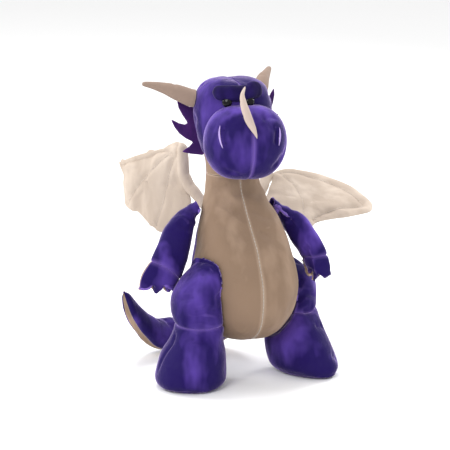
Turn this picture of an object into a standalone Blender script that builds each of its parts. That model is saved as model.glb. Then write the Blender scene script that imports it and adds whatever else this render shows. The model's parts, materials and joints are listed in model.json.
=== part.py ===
"""Stuffed dragon toy: sewn fabric panels over stuffing, with limbs, head, wings and tail that flex at their seams.

Metres, +Z up. The toy faces -Y and stands on z = 0. Its own left side is +X.
"""
import math

import bmesh
import bpy
import numpy as np
from mathutils import Vector

for old in list(bpy.data.objects):
    bpy.data.objects.remove(old, do_unlink=True)

# ---------------------------------------------------------------- driving dimensions
SKIN = 0.0022  # plush fabric with its pile
SEAM = 0.0005  # gap between two sewn pieces
SLACK = 0.0012  # room between the fabric and the stuffing
ROUND = 24  # columns round the torso and the head
LIMB_ROUND = 12  # columns round limbs and tail

SEAT_HEIGHT = 0.0475  # lowest point of the torso
NECK_TOP = 0.283  # seam between torso and head
BODY_HALF_WIDTH = 0.0715
BELLY_REACH = 0.102  # how far the belly stands out in front
BACK_REACH = 0.065  # how far the back stands out behind
SIDE_SEAM_COLUMN = 7  # the belly panels reach 105 degrees round from the front

HEAD_LEAN = -0.005  # the head sits a little to the toy's right
HEAD_BACK = 0.019  # head centre behind the torso's centre
HEAD_TALL = 0.1336
HEAD_RADIUS = 0.0535

MUZZLE_HALF_WIDTH = 0.0585
MUZZLE_HALF_DEPTH = 0.050
MUZZLE_HALF_HEIGHT = 0.0512
MUZZLE_FORWARD = 0.055  # muzzle centre in front of the head's centre
MUZZLE_LIFT = 0.0008  # lowest point of the muzzle above the neck seam

EYE_RADIUS = 0.0062
EYE_DOME = 0.0038
EYE_HEIGHT = 0.81961 * HEAD_TALL  # above the neck seam
EYE_ANGLE = math.radians(18)  # from the middle of the face
FACE_TURN = math.radians(-5)  # the face looks a little to the toy's right
SHANK_RADIUS = 0.0018
SHANK_LENGTH = 0.0095
WASHER_RADIUS = 0.0058
WASHER_THICK = 0.0015
FIT = 0.0004  # clearance round shanks, washers and cut seats

HORN_LENGTH = 0.077
HORN_RADIUS = 0.0125
HORN_HEIGHT = 0.77844 * HEAD_TALL  # above the neck seam
NOSE_HORN_RADIUS = 0.0058
FELT = 0.0028

LEG_CLEARANCE = 0.002
LEG_SWING = 12  # degrees each way
SOLE = 0.003
ARM_STANDOFF = 0.0025
WING_THICK = 0.0085
WING_FABRIC = 0.0018
WING_ROOT_HEIGHT = 0.222
WING_ROOT_SIDE = 0.027
WING_ROLL_RADIUS = 0.0085
WING_STANDOFF = 0.0025
TAIL_RADIUS = 0.031
TAIL_SWAY = 20  # degrees each way
PELLET_RADIUS = 0.026
PELLET_TALL = 0.022


# ---------------------------------------------------------------- materials
def finish(name, colour, roughness, metallic=0.0):
    material = bpy.data.materials.new(name)
    material.use_nodes = True
    shader = material.node_tree.nodes["Principled BSDF"]
    shader.inputs["Base Color"].default_value = (*colour, 1.0)
    shader.inputs["Roughness"].default_value = roughness
    shader.inputs["Metallic"].default_value = metallic
    return material


PURPLE = finish("purple_velvet", (0.075, 0.03, 0.27), 0.85)
BEIGE = finish("beige_velvet", (0.36, 0.25, 0.19), 0.85)
CREAM = finish("cream_velvet", (0.55, 0.45, 0.37), 0.85)
PLUM = finish("plum_felt", (0.09, 0.02, 0.13), 0.9)
FIBRE = finish("polyester_fibre", (0.85, 0.85, 0.83), 0.95)
PELLETS = finish("pellet_bag_cloth", (0.6, 0.6, 0.58), 0.9)
EYE_BLACK = finish("black_plastic", (0.005, 0.005, 0.006), 0.12)
WASHER_WHITE = finish("white_plastic", (0.8, 0.8, 0.78), 0.45)


# ---------------------------------------------------------------- surfaces as grids of points
def smooth_rows(rows, count):
    """Even steps along a Catmull-Rom curve through the rows."""
    rows = np.array(rows, float)
    ends = np.vstack([2 * rows[0] - rows[1], rows, 2 * rows[-1] - rows[-2]])
    found = []
    for place in np.linspace(0, len(rows) - 1, count):
        first = min(int(place), len(rows) - 2)
        t = place - first
        a, b, c, d = ends[first:first + 4]
        found.append(0.5 * (2 * b + (c - a) * t + (2 * a - 5 * b + 4 * c - d) * t**2 + (3 * b - 3 * c + d - a) * t**3))
    return np.array(found)


def stack(rows, rings, columns):
    """Horizontal ellipses: rows of height, centre x, centre y, half width, half depth, turn in degrees.

    Column 0 is at the front, and columns run towards the toy's left.
    """
    angle = 2 * math.pi * np.arange(columns) / columns
    grid = []
    for z, x, y, half_width, half_depth, turn in smooth_rows(rows, rings):
        side = max(half_width, 0) * np.sin(angle)
        front = -max(half_depth, 0) * np.cos(angle)
        c, s = math.cos(math.radians(turn)), math.sin(math.radians(turn))
        grid.append(np.column_stack([x + side * c - front * s, y + side * s + front * c, np.full(columns, z)]))
    return np.array(grid)


def tube(rows, rings, columns, across):
    """Rings square to a curve: rows of x, y, z, half size along the carried direction, half size square to it."""
    rows = smooth_rows(rows, rings)
    centres = rows[:, :3]
    tangents = np.gradient(centres, axis=0)
    tangents /= np.linalg.norm(tangents, axis=1)[:, None]
    angle = 2 * math.pi * np.arange(columns) / columns
    carried = np.array(across, float)
    grid = []
    for centre, tangent, (first, second) in zip(centres, tangents, rows[:, 3:5]):
        carried = carried - (carried @ tangent) * tangent
        carried /= np.linalg.norm(carried)
        other = np.cross(tangent, carried)
        first, second = max(first, 0), max(second, 0)
        grid.append(centre + np.outer(first * np.cos(angle), carried) + np.outer(second * np.sin(angle), other))
    return np.array(grid)


def is_point(ring):
    return np.ptp(ring, axis=0).max() < 1e-6


def inset(grid, depth):
    """The grid moved inwards by depth, square to its surface."""
    along = np.gradient(grid, axis=0)
    around = np.roll(grid, -1, 1) - np.roll(grid, 1, 1)
    normal = np.cross(around, along)
    length = np.linalg.norm(normal, axis=2, keepdims=True)
    normal = normal / np.where(length < 1e-12, 1, length)
    middle = len(grid) // 2
    if ((grid[middle] - grid[middle].mean(0)) * normal[middle]).sum() < 0:
        normal = -normal
    for end, neighbour in ((0, 1), (-1, -2)):
        if is_point(grid[end]):
            outward = grid[end].mean(0) - grid[neighbour].mean(0)
            normal[end] = outward / np.linalg.norm(outward)
    return grid - depth * normal


def keep(grid, point, normal, distance=0.0):
    """Points short of a plane's distance are moved up to it."""
    normal = np.array(normal, float)
    short = distance - (grid - np.array(point)) @ normal
    return grid + np.clip(short, 0, None)[..., None] * normal


def columns_of(grid, first, last):
    """Columns first to last, with both edge columns drawn in by half a seam."""
    picked = grid[:, [column % grid.shape[1] for column in range(first, last + 1)]].copy()
    for edge, neighbour in ((0, 1), (-1, -2)):
        step = picked[:, neighbour] - picked[:, edge]
        length = np.linalg.norm(step, axis=1, keepdims=True)
        picked[:, edge] += step * (SEAM / 2) / np.where(length < 1e-9, 1, length)
    return picked


def rows_of(grid, first, last, low_seam=False, high_seam=False):
    """Rings first to last, with a seam edge drawn in by half a seam."""
    picked = grid[first:last + 1].copy()
    for wanted, edge, neighbour in ((low_seam, 0, 1), (high_seam, -1, -2)):
        if wanted:
            step = picked[neighbour] - picked[edge]
            length = np.linalg.norm(step, axis=1, keepdims=True)
            picked[edge] += step * (SEAM / 2) / np.where(length < 1e-9, 1, length)
    return picked


# ---------------------------------------------------------------- objects
def pivot(name, point):
    empty = bpy.data.objects.new(name, None)
    empty.empty_display_size = 0.02
    empty.location = point
    bpy.context.collection.objects.link(empty)
    return empty


def make(name, points, faces, material, parent=None):
    """An object from points in world coordinates; coincident points become one."""
    origin = np.array(parent.location if parent else (0, 0, 0))
    shape = bmesh.new()
    corners = [shape.verts.new(point - origin) for point in points]
    for face in faces:
        shape.faces.new([corners[index] for index in face])
    bmesh.ops.remove_doubles(shape, verts=shape.verts, dist=1e-6)
    bmesh.ops.recalc_face_normals(shape, faces=shape.faces)
    if shape.calc_volume(signed=True) < 0:
        bmesh.ops.reverse_faces(shape, faces=shape.faces)
    mesh = bpy.data.meshes.new(name)
    shape.to_mesh(mesh)
    shape.free()
    mesh.materials.append(material)
    mesh.shade_smooth()
    mesh.set_sharp_from_angle(angle=math.radians(40))
    made = bpy.data.objects.new(name, mesh)
    made.parent = parent
    bpy.context.collection.objects.link(made)
    return made


def quads(numbers, wrap):
    rings, columns = numbers.shape
    last = columns if wrap else columns - 1
    found = []
    for i in range(rings - 1):
        for j in range(last):
            k = (j + 1) % columns
            found.append((numbers[i, j], numbers[i, k], numbers[i + 1, k], numbers[i + 1, j]))
    return found


def panel(name, outer, inner, material, wrap=True, parent=None):
    """Fabric between two grids, closed along every open edge."""
    rings, columns = outer.shape[:2]
    out = np.arange(rings * columns).reshape(rings, columns)
    back = out + rings * columns
    faces = quads(out, wrap) + [face[::-1] for face in quads(back, wrap)]
    for end in (0, -1):
        if not is_point(outer[end]):
            edge = quads(np.vstack([out[end], back[end]]), wrap)
            faces += edge if end else [face[::-1] for face in edge]
    if not wrap:
        for side in (0, -1):
            edge = quads(np.vstack([out[:, side], back[:, side]]), False)
            faces += edge if side == 0 else [face[::-1] for face in edge]
    points = np.vstack([outer.reshape(-1, 3), inner.reshape(-1, 3)])
    return make(name, points, faces, material, parent)


def solid(name, grid, material, parent=None):
    """A full solid inside one grid, with flat ends where the grid is open."""
    rings, columns = grid.shape[:2]
    numbers = np.arange(rings * columns).reshape(rings, columns)
    faces = quads(numbers, True)
    if not is_point(grid[0]):
        faces.append(tuple(numbers[0][::-1]))
    if not is_point(grid[-1]):
        faces.append(tuple(numbers[-1]))
    return make(name, grid.reshape(-1, 3), faces, material, parent)


def plate(name, outline, origin, along, up, thick, offset, material, parent=None):
    """A flat piece: outline points (along, up) in a plane, thick metres deep, centred offset metres off the plane."""
    along, up = np.array(along, float), np.array(up, float)
    normal = np.cross(along, up)
    face = np.array([np.array(origin) + a * along + b * up for a, b in outline])
    low, high = face + (offset - thick / 2) * normal, face + (offset + thick / 2) * normal
    count = len(outline)
    faces = [tuple(range(count))[::-1], tuple(range(count, 2 * count))]
    for i in range(count):
        j = (i + 1) % count
        faces.append((i, j, count + j, count + i))
    return make(name, np.vstack([low, high]), faces, material, parent)


def cutter(name, grid):
    made = solid(name, grid, FIBRE)
    made.hide_render = True
    made.display_type = "WIRE"
    return made


def carve(piece, *cutters):
    for other in cutters:
        cut = piece.modifiers.new(f"cut_{other.name}", "BOOLEAN")
        cut.operation = "DIFFERENCE"
        cut.solver = "EXACT"
        cut.object = other


def trim_to_largest(piece):
    """Fix the cuts into the mesh and leave out the crumbs that they split off."""
    bpy.context.view_layer.update()
    evaluated = piece.evaluated_get(bpy.context.evaluated_depsgraph_get())
    mesh = bpy.data.meshes.new_from_object(evaluated)
    piece.modifiers.clear()
    piece.data = mesh
    shape = bmesh.new()
    shape.from_mesh(mesh)
    left, bodies = set(shape.verts), []
    while left:
        body, edge = set(), [left.pop()]
        while edge:
            corner = edge.pop()
            body.add(corner)
            near = {link.other_vert(corner) for link in corner.link_edges} & left
            left -= near
            edge.extend(near)
        bodies.append(body)
    largest = max(bodies, key=len)
    bmesh.ops.delete(shape, geom=[v for body in bodies if body is not largest for v in body], context="VERTS")
    shape.to_mesh(mesh)
    shape.free()


def place_on(rows, height, angle):
    """Point and outward normal on a stack's surface, at a height and an angle from the front."""
    fine = smooth_rows(rows, 400)

    def at(z, turn):
        row = [np.interp(z, fine[:, 0], fine[:, column]) for column in range(5)]
        return np.array([row[1] + row[3] * math.sin(turn), row[2] - row[4] * math.cos(turn), z])

    step = 0.002
    upward = at(height + step, angle) - at(height - step, angle)
    round_it = at(height, angle + 0.03) - at(height, angle - 0.03)
    normal = np.cross(round_it, upward)
    normal /= np.linalg.norm(normal)
    return at(height, angle), normal


# ---------------------------------------------------------------- torso
# Fractions of the torso's height, half width, belly reach and back reach.
TORSO_PROFILE = [
    (0.000, 0.000, 0.118, -0.185),
    (0.024, 0.364, 0.412, 0.277),
    (0.087, 0.685, 0.706, 0.615),
    (0.180, 0.895, 0.912, 0.815),
    (0.308, 1.000, 1.000, 0.954),
    (0.435, 1.000, 0.961, 1.000),
    (0.584, 0.916, 0.784, 1.000),
    (0.720, 0.783, 0.539, 0.969),
    (0.839, 0.636, 0.304, 0.923),
    (0.915, 0.566, 0.186, 0.877),
    (1.000, 0.538, 0.137, 0.830),
]
TORSO_RINGS = 14
SEAT_RING = 2
LEAN_FROM = 0.6  # share of the torso's height where the neck starts to lean


def torso_rows():
    rows = []
    for h, width, belly, back in TORSO_PROFILE:
        front = -belly * BELLY_REACH
        rear = back * BACK_REACH if width else front
        lean = HEAD_LEAN * max(0.0, (h - LEAN_FROM) / (1 - LEAN_FROM))
        z = SEAT_HEIGHT + h * (NECK_TOP - SEAT_HEIGHT)
        rows.append((z, lean, (front + rear) / 2, width * BODY_HALF_WIDTH, (rear - front) / 2, 0))
    return rows


TORSO = torso_rows()
UNDER_NECK = ((0, 0, NECK_TOP), (0, 0, -1))


def torso():
    outer = keep(stack(TORSO, TORSO_RINGS, ROUND), *UNDER_NECK)
    inner = keep(inset(outer, SKIN), *UNDER_NECK)
    inner[-1, :, 2] = NECK_TOP
    seams = {
        "belly_left": (0, SIDE_SEAM_COLUMN, BEIGE),
        "back_left": (SIDE_SEAM_COLUMN, ROUND // 2, PURPLE),
        "back_right": (ROUND // 2, ROUND - SIDE_SEAM_COLUMN, PURPLE),
        "belly_right": (ROUND - SIDE_SEAM_COLUMN, ROUND, BEIGE),
    }
    for name, (first, last, material) in seams.items():
        faces = [
            columns_of(rows_of(grid, SEAT_RING, TORSO_RINGS - 1, low_seam=True), first, last)
            for grid in (outer, inner)
        ]
        panel(name, *faces, material, wrap=False)
    seat = [rows_of(grid, 0, SEAT_RING, high_seam=True) for grid in (outer, inner)]
    panel("seat_patch", *seat, PURPLE)
    stuffing_grid = keep(inset(outer, SKIN + SLACK), *UNDER_NECK)
    stuffing_grid[-1, :, 2] = NECK_TOP
    stuffing = solid("torso_stuffing", stuffing_grid, FIBRE)
    base = SEAT_HEIGHT + SKIN + 2 * SLACK
    middle = stuffing_grid[0].mean(0)[1]
    bag = [
        (base + PELLET_TALL * (1 - math.cos(a)) / 2, 0, middle, PELLET_RADIUS * math.sin(a), PELLET_RADIUS * math.sin(a), 0)
        for a in np.linspace(0, math.pi, 7)
    ]
    pellets = stack(bag, 9, LIMB_ROUND)
    solid("pellet_bag", pellets, PELLETS)
    pocket = inset(pellets, -SLACK)
    pocket[0, :, 2] = SEAT_HEIGHT - SLACK
    pocket[1:4, :, :2] = pocket[4, :, :2]
    pocket[1:4, :, 2] = pocket[4, :, 2] - np.linspace(0.006, 0.001, 3)[:, None]
    pocket[0, :, :2] = pocket[1, :, :2]
    carve(stuffing, cutter("pellet_pocket", pocket))


# ---------------------------------------------------------------- head
# Fractions of the head's height and radius, from the neck seam to the crown.
HEAD_PROFILE = [
    (0.00, 0.70), (0.13, 0.72), (0.28, 0.82), (0.45, 0.95), (0.63, 1.00),
    (0.78, 0.93), (0.90, 0.71), (0.97, 0.41), (1.00, 0.00),
]
HEAD_BASE = NECK_TOP + SEAM
HEAD = [(HEAD_BASE + h * HEAD_TALL, HEAD_LEAN, HEAD_BACK, r * HEAD_RADIUS, r * HEAD_RADIUS, 0) for h, r in HEAD_PROFILE]
HEAD_RINGS = 11
OVER_NECK = ((0, 0, HEAD_BASE), (0, 0, 1))
SIDES = {"left": 1, "right": -1}


def half_of(grid, side):
    """One half of a closed grid, cut on the head's middle plane."""
    columns = grid.shape[1] // 2
    first = 0 if side > 0 else columns
    picked = grid[:, [column % grid.shape[1] for column in range(first, first + columns + 1)]]
    return keep(picked, (HEAD_LEAN, 0, 0), (side, 0, 0), SEAM / 2)


def rod(name, start, direction, length, radius, material, parent, columns=12):
    end = start + length * direction
    rows = [(*start, radius, radius), (*end, radius, radius)]
    across = np.cross(direction, (0, 0, 1.0))
    return solid(name, tube(rows, 2, columns, across), material, parent)


def hidden(piece):
    piece.hide_render = True
    piece.display_type = "WIRE"
    return piece


def eye(side_name, side, neck):
    """A safety eye: a domed button with its shank, and the washer that locks it behind the fabric."""
    spot, normal = place_on(HEAD, HEAD_BASE + EYE_HEIGHT, FACE_TURN + side * EYE_ANGLE)
    face = spot + 2 * SEAM * normal
    across = np.cross(normal, (0, 0, 1.0))
    rows = [(*(face - SHANK_LENGTH * normal), SHANK_RADIUS, SHANK_RADIUS)]
    profile = [(0.0, SHANK_RADIUS), (0.0, EYE_RADIUS)]
    profile += [(EYE_DOME * math.sin(a), EYE_RADIUS * math.cos(a)) for a in np.linspace(0.25, math.pi / 2, 5)]
    rings = [tube(rows + [(*face, SHANK_RADIUS, SHANK_RADIUS)], 2, LIMB_ROUND, across)[0]]
    unit = tube([(*face, 1, 1), (*(face + normal), 1, 1)], 2, LIMB_ROUND, across)[0] - face
    rings += [face + height * normal + radius * unit for height, radius in profile]
    solid(f"eye_{side_name}", np.array(rings), EYE_BLACK, neck)
    behind = face - (SKIN + 2 * SLACK + 2 * SEAM + WASHER_THICK) * normal
    washer = rod(f"eye_washer_{side_name}", behind, normal, WASHER_THICK, WASHER_RADIUS, WASHER_WHITE, neck)
    hole = hidden(rod(f"shank_hole_{side_name}", face - 0.02 * normal, normal, 0.022, SHANK_RADIUS + FIT, FIBRE, neck))
    start = behind - FIT * normal
    depth = 2 * SLACK + WASHER_THICK + 0.004
    pocket = hidden(rod(f"washer_pocket_{side_name}", start, normal, depth, WASHER_RADIUS + FIT, FIBRE, neck))
    carve(washer, hole)
    return hole, pocket


def head():
    neck = pivot("head_pivot", (HEAD_LEAN, HEAD_BACK, HEAD_BASE))
    outer = stack(HEAD, HEAD_RINGS, ROUND)
    inner = keep(inset(outer, SKIN), *OVER_NECK)
    inner[0, :, 2] = HEAD_BASE
    full = keep(inset(outer, SKIN + SLACK), *OVER_NECK)
    full[0, :, 2] = HEAD_BASE
    stuffing = solid("head_stuffing", full, FIBRE, neck)
    for name, side in SIDES.items():
        hole, pocket = eye(name, side, neck)
        skin = panel(f"head_side_{name}", half_of(outer, side), half_of(inner, side), PURPLE, False, neck)
        carve(skin, hole)
        carve(stuffing, pocket, hole)
    muzzle(neck, outer)
    brow(neck)
    crest(neck)
    for name, side in SIDES.items():
        frill(name, side, neck)
        solid(f"horn_{name}", horn_grid(name, side), CREAM, neck)
    nose_horn(neck)


MUZZLE_CENTRE_Z = NECK_TOP + SEAM + MUZZLE_LIFT + MUZZLE_HALF_HEIGHT
MUZZLE_Y = HEAD_BACK - MUZZLE_FORWARD
MUZZLE_SQUARE = 0.86  # under 1 the muzzle is a little squarer than an egg


def muzzle_rows():
    rows = []
    for a in np.linspace(0, math.pi, 11):
        swell = math.sin(a) ** MUZZLE_SQUARE if 0 < a < math.pi - 1e-9 else 0.0
        z = MUZZLE_CENTRE_Z - MUZZLE_HALF_HEIGHT * math.cos(a)
        rows.append((z, HEAD_LEAN, MUZZLE_Y, swell * MUZZLE_HALF_WIDTH, swell * MUZZLE_HALF_DEPTH, 0))
    return rows


MUZZLE = muzzle_rows()


def muzzle(neck, head_grid):
    """Two halves with a seam down the front, cut where they meet the head."""
    seat = cutter("muzzle_seat", inset(head_grid, -2 * SEAM))
    outer = stack(MUZZLE, 9, ROUND)
    inner = inset(outer, SKIN)
    for name, side in SIDES.items():
        half = panel(f"muzzle_{name}", half_of(outer, side), half_of(inner, side), PURPLE, False, neck)
        carve(half, seat)
    carve(solid("muzzle_stuffing", inset(outer, SKIN + SLACK), FIBRE, neck), seat)


BROW_HEIGHT = 0.94686 * HEAD_TALL  # above the neck seam
BROW_DROOP = 0.012
BROW_RADIUS = 0.0045
BROW_HALF_SPAN = 0.62  # radians round the head


def brow(neck):
    rows = []
    for angle in np.linspace(-BROW_HALF_SPAN, BROW_HALF_SPAN, 7):
        spot, normal = place_on(HEAD, HEAD_BASE + BROW_HEIGHT - BROW_DROOP * abs(angle), FACE_TURN + angle)
        radius = BROW_RADIUS * math.sqrt(max(0.0, 1 - (angle / BROW_HALF_SPAN) ** 2))
        rows.append((*(spot + (BROW_RADIUS + 3 * SEAM) * normal), radius, radius))
    solid("brow_roll", tube(rows, 9, 8, (0, 0, 1)), PURPLE, neck)


# Felt outlines: how far each point stands out from the head's side, and its height as a share of the head's.
FRILL = [
    (0.02180, 0.73728), (0.03736, 0.83458), (0.03157, 0.74476), (0.02564, 0.65494), (0.01703, 0.55015),
    (0.02097, 0.52395), (0.03729, 0.56886), (0.03533, 0.50524), (0.02877, 0.43039), (0.01749, 0.36302),
    (0.01467, 0.34805), (0.03243, 0.24701), (0.00932, 0.22455),
]
CREST = [
    (0.00692, 0.95434), (0.01171, 0.88323), (0.01271, 0.83832), (0.00422, 0.74850), (0.01735, 0.70359),
    (0.00704, 0.59880), (0.02147, 0.52395), (0.01017, 0.41916), (0.02168, 0.33683), (0.00854, 0.26946),
]
FRILL_SPAN = (0.22455, 0.71108)  # shares of the head's height where the frill is sewn on
CREST_SPAN = (0.26946, 0.88323)
FRILL_SWEEP = math.radians(112)  # angle from the front


def beside_head(points):
    """Distances from the head's axis and heights above the neck seam of points given by reach and share of height."""
    found = []
    for reach, share in points:
        spot, _ = place_on(HEAD, HEAD_BASE + share * HEAD_TALL, 0)
        found.append((HEAD_BACK - spot[1] + reach, share * HEAD_TALL))
    return found


def head_edge(span, count):
    """The sewn edge of a felt piece, just clear of the head."""
    return beside_head([(3 * SEAM, share) for share in np.linspace(*span, count)])


def radial(angle):
    return (math.sin(angle), -math.cos(angle), 0)


def frill(name, side, neck):
    outline = beside_head(FRILL) + head_edge(FRILL_SPAN, 6)
    origin = (HEAD_LEAN, HEAD_BACK, HEAD_BASE)
    felt = plate(f"cheek_frill_{name}", outline, origin, radial(side * FRILL_SWEEP), (0, 0, 1), FELT, 0, PLUM, neck)
    carve(felt, cutter(f"horn_notch_{name}", inset(horn_grid(name, side), -SEAM)))


def crest(neck):
    outline = beside_head(CREST) + head_edge(CREST_SPAN, 6)
    origin = (HEAD_LEAN, HEAD_BACK, HEAD_BASE)
    plate("head_crest", outline, origin, radial(math.pi), (0, 0, 1), FELT, 0, PLUM, neck)


# Where each soft horn is sewn on, how far back it has flopped, and how high it points, in degrees.
HORN_POSE = {"left": (124, 58, 27), "right": (102, 20, 21)}
HORN_DROOP = 0.012
HORN_STUB = 0.008  # how far the horn stands straight out before it turns


def horn_grid(name, side):
    sewn, back, rise = (math.radians(value) for value in HORN_POSE[name])
    spot, normal = place_on(HEAD, HEAD_BASE + HORN_HEIGHT, side * sewn)
    ahead = np.array([side * math.cos(back) * math.cos(rise), math.sin(back) * math.cos(rise), math.sin(rise)])
    start = spot + (3 * SEAM) * normal
    rows = [(*start, HORN_RADIUS, HORN_RADIUS), (*(start + HORN_STUB * normal), HORN_RADIUS, HORN_RADIUS)]
    for share, size in ((0.28, 0.86), (0.5, 0.66), (0.72, 0.46), (0.92, 0.34), (1.0, 0.0)):
        point = start + HORN_STUB * normal + share * HORN_LENGTH * ahead - (0, 0, HORN_DROOP * share**2)
        rows.append((*point, size * HORN_RADIUS, size * HORN_RADIUS))
    return tube(rows, 10, 10, (0, 0, 1))


def nose_horn(neck):
    """A limp crescent that stands on the bridge of the muzzle and bends to the toy's right."""
    front = MUZZLE_Y - MUZZLE_HALF_DEPTH
    path = [
        (0.000, 0.001, 0.022, 0.0),
        (-0.006, 0.0015, 0.033, 0.7),
        (-0.014, 0.006, 0.048, 1.0),
        (-0.0145, 0.017, 0.066, 0.85),
        (-0.008, 0.027, 0.080, 0.0),
    ]
    rows = [
        (HEAD_LEAN + x, front + y - NOSE_HORN_RADIUS / 2, MUZZLE_CENTRE_Z + z, size * NOSE_HORN_RADIUS, size * NOSE_HORN_RADIUS)
        for x, y, z, size in path
    ]
    solid("nose_horn", tube(rows, 10, 8, (1, 0, 0)), CREAM, neck)


# ---------------------------------------------------------------- arms
# Offsets from the shoulder's seam, then half sizes fore and aft and side to side.
ARM_PATH = {
    "left": [
        (0.000, 0.000, 0.000, 0.0170, 0.0170), (0.013, -0.001, 0.002, 0.0205, 0.0190),
        (0.028, -0.006, -0.012, 0.0215, 0.0205), (0.0385, -0.020, -0.036, 0.0215, 0.0215),
        (0.0435, -0.036, -0.058, 0.0190, 0.0225), (0.0450, -0.049, -0.078, 0.0150, 0.0230),
        (0.0450, -0.055, -0.096, 0.0120, 0.0200), (0.0450, -0.057, -0.107, 0.0000, 0.0000),
    ],
    "right": [
        (0.000, 0.000, 0.000, 0.0170, 0.0170), (0.014, -0.001, 0.002, 0.0205, 0.0190),
        (0.029, -0.006, -0.010, 0.0215, 0.0210), (0.045, -0.015, -0.034, 0.0220, 0.0225),
        (0.059, -0.026, -0.058, 0.0195, 0.0235), (0.070, -0.036, -0.080, 0.0155, 0.0250),
        (0.074, -0.041, -0.098, 0.0125, 0.0210), (0.075, -0.043, -0.108, 0.0000, 0.0000),
    ],
}
SHOULDER_HEIGHT = 0.238
SHOULDER_ANGLE = math.radians(97)
ARM_RINGS = 12
WRIST_RING = 7


def arm(name, side):
    spot, normal = place_on(TORSO, SHOULDER_HEIGHT, side * SHOULDER_ANGLE)
    start = spot + ARM_STANDOFF * normal
    shoulder = pivot(f"arm_{name}_pivot", start)
    rows = [(start[0] + side * x, start[1] + y, start[2] + z, a, b) for x, y, z, a, b in ARM_PATH[name]]
    outer = tube(rows, ARM_RINGS, LIMB_ROUND, (0, 1, 0))
    outer = keep(outer, start, normal)
    inner = keep(inset(outer, SKIN), start, normal)
    quarter = LIMB_ROUND // 4
    sleeve = [rows_of(grid, 0, WRIST_RING, high_seam=True) for grid in (outer, inner)]
    panel(f"arm_sleeve_{name}", *sleeve, PURPLE, True, shoulder)
    paw = [rows_of(grid, WRIST_RING, ARM_RINGS - 2, low_seam=True) for grid in (outer, inner)]
    palm = [columns_of(grid, -quarter, quarter) for grid in paw]
    back = [columns_of(grid, quarter, 3 * quarter) for grid in paw]
    panel(f"palm_{name}", *palm, BEIGE, False, shoulder)
    panel(f"paw_back_{name}", *back, PURPLE, False, shoulder)
    solid(f"arm_stuffing_{name}", keep(inset(outer, SKIN + 2 * SLACK), start, normal, SEAM), FIBRE, shoulder)


# ---------------------------------------------------------------- legs
# Height, distance beyond the torso's half width, place front to back, half width, half length, turn out in degrees.
LEG_PATH = {
    "right": [
        (0.000, 0.0175, -0.062, 0.046, 0.054, 18), (0.018, 0.0175, -0.062, 0.051, 0.058, 18),
        (0.045, 0.0155, -0.060, 0.048, 0.054, 17), (0.070, 0.0095, -0.056, 0.039, 0.046, 14),
        (0.087, 0.0055, -0.053, 0.036, 0.043, 10), (0.108, 0.0065, -0.051, 0.0375, 0.045, 5),
        (0.128, 0.0045, -0.050, 0.0365, 0.045, 0), (0.148, -0.0025, -0.049, 0.031, 0.040, 0),
        (0.167, -0.0105, -0.048, 0.019, 0.027, 0), (0.176, -0.0145, -0.048, 0.000, 0.000, 0),
    ],
    "left": [
        (0.000, 0.0085, -0.045, 0.036, 0.050, 35), (0.018, 0.0065, -0.042, 0.043, 0.056, 35),
        (0.045, 0.0025, -0.036, 0.042, 0.052, 33), (0.067, 0.0035, -0.026, 0.036, 0.044, 25),
        (0.087, 0.0065, -0.010, 0.0345, 0.039, 15), (0.108, 0.0075, 0.001, 0.036, 0.038, 5),
        (0.128, 0.0055, 0.008, 0.036, 0.036, 0), (0.144, -0.0005, 0.012, 0.029, 0.030, 0),
        (0.157, -0.0065, 0.014, 0.018, 0.020, 0), (0.164, -0.0095, 0.014, 0.000, 0.000, 0),
    ],
}
LEG_RINGS = 13
ANKLE_RING = 6
HIP_HEIGHT = 0.120
HIP_ANGLE = {"left": math.radians(96), "right": math.radians(62)}


def swung(grid, centre, axis, degrees):
    """The grid turned about an axis through centre."""
    angle = math.radians(degrees)
    offset = grid - centre
    along = (offset @ axis)[..., None] * axis
    return centre + along + (offset - along) * math.cos(angle) + np.cross(axis, offset) * math.sin(angle)


def leg(name, side):
    spot, normal = place_on(TORSO, HIP_HEIGHT, side * HIP_ANGLE[name])
    axis = np.array([normal[0], normal[1], 0.0])
    axis /= np.linalg.norm(axis)
    hip = pivot(f"leg_{name}_pivot", spot)
    rows = [(z, side * (BODY_HALF_WIDTH + x), y, a, b, side * turn) for z, x, y, a, b, turn in LEG_PATH[name]]
    outer = stack(rows, LEG_RINGS, LIMB_ROUND)
    on_floor = ((0, 0, 0), (0, 0, 1))
    inner = keep(inset(outer, SKIN), *on_floor)
    inner[0, :, 2] = 0.0
    torso_grid = stack(TORSO, TORSO_RINGS, ROUND)
    torso_grid = np.vstack([inset(torso_grid, -LEG_CLEARANCE)[:-3]])
    steps = (-LEG_SWING, 0, LEG_SWING)
    seats = [cutter(f"hip_seat_{name}_{n}", swung(torso_grid, spot, axis, step)) for n, step in enumerate(steps)]
    boot = [rows_of(grid, 0, ANKLE_RING, high_seam=True) for grid in (outer, inner)]
    thigh = [rows_of(grid, ANKLE_RING, LEG_RINGS - 1, low_seam=True) for grid in (outer, inner)]
    full = keep(inset(outer, SKIN + 2 * SLACK), (0, 0, SOLE + SEAM), (0, 0, 1))
    pieces = [
        panel(f"foot_upper_{name}", *boot, PURPLE, True, hip),
        panel(f"thigh_{name}", *thigh, PURPLE, True, hip),
        solid(f"leg_stuffing_{name}", full, FIBRE, hip),
    ]
    for piece in pieces:
        carve(piece, *seats)
        trim_to_largest(piece)
    edge = inset(outer, SKIN + SEAM)[0]
    edge[:, 2] = 0.0
    solid(f"sole_{name}", np.array([edge, edge + (0, 0, SOLE)]), PURPLE, hip)


# ---------------------------------------------------------------- wings
# Along the wing and up, from its root.
WING_ROLL = [(0.000, 0.000), (0.011, 0.016), (0.021, 0.036), (0.029, 0.059), (0.035, 0.083), (0.043, 0.101)]
WING_CORNERS = [(0.057, 0.104), (0.174, 0.077), (0.165, 0.007), (0.099, -0.031), (0.056, -0.040)]
WING_SAG = [0.000, 0.010, 0.011, 0.004]  # how far each edge bows in
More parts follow.
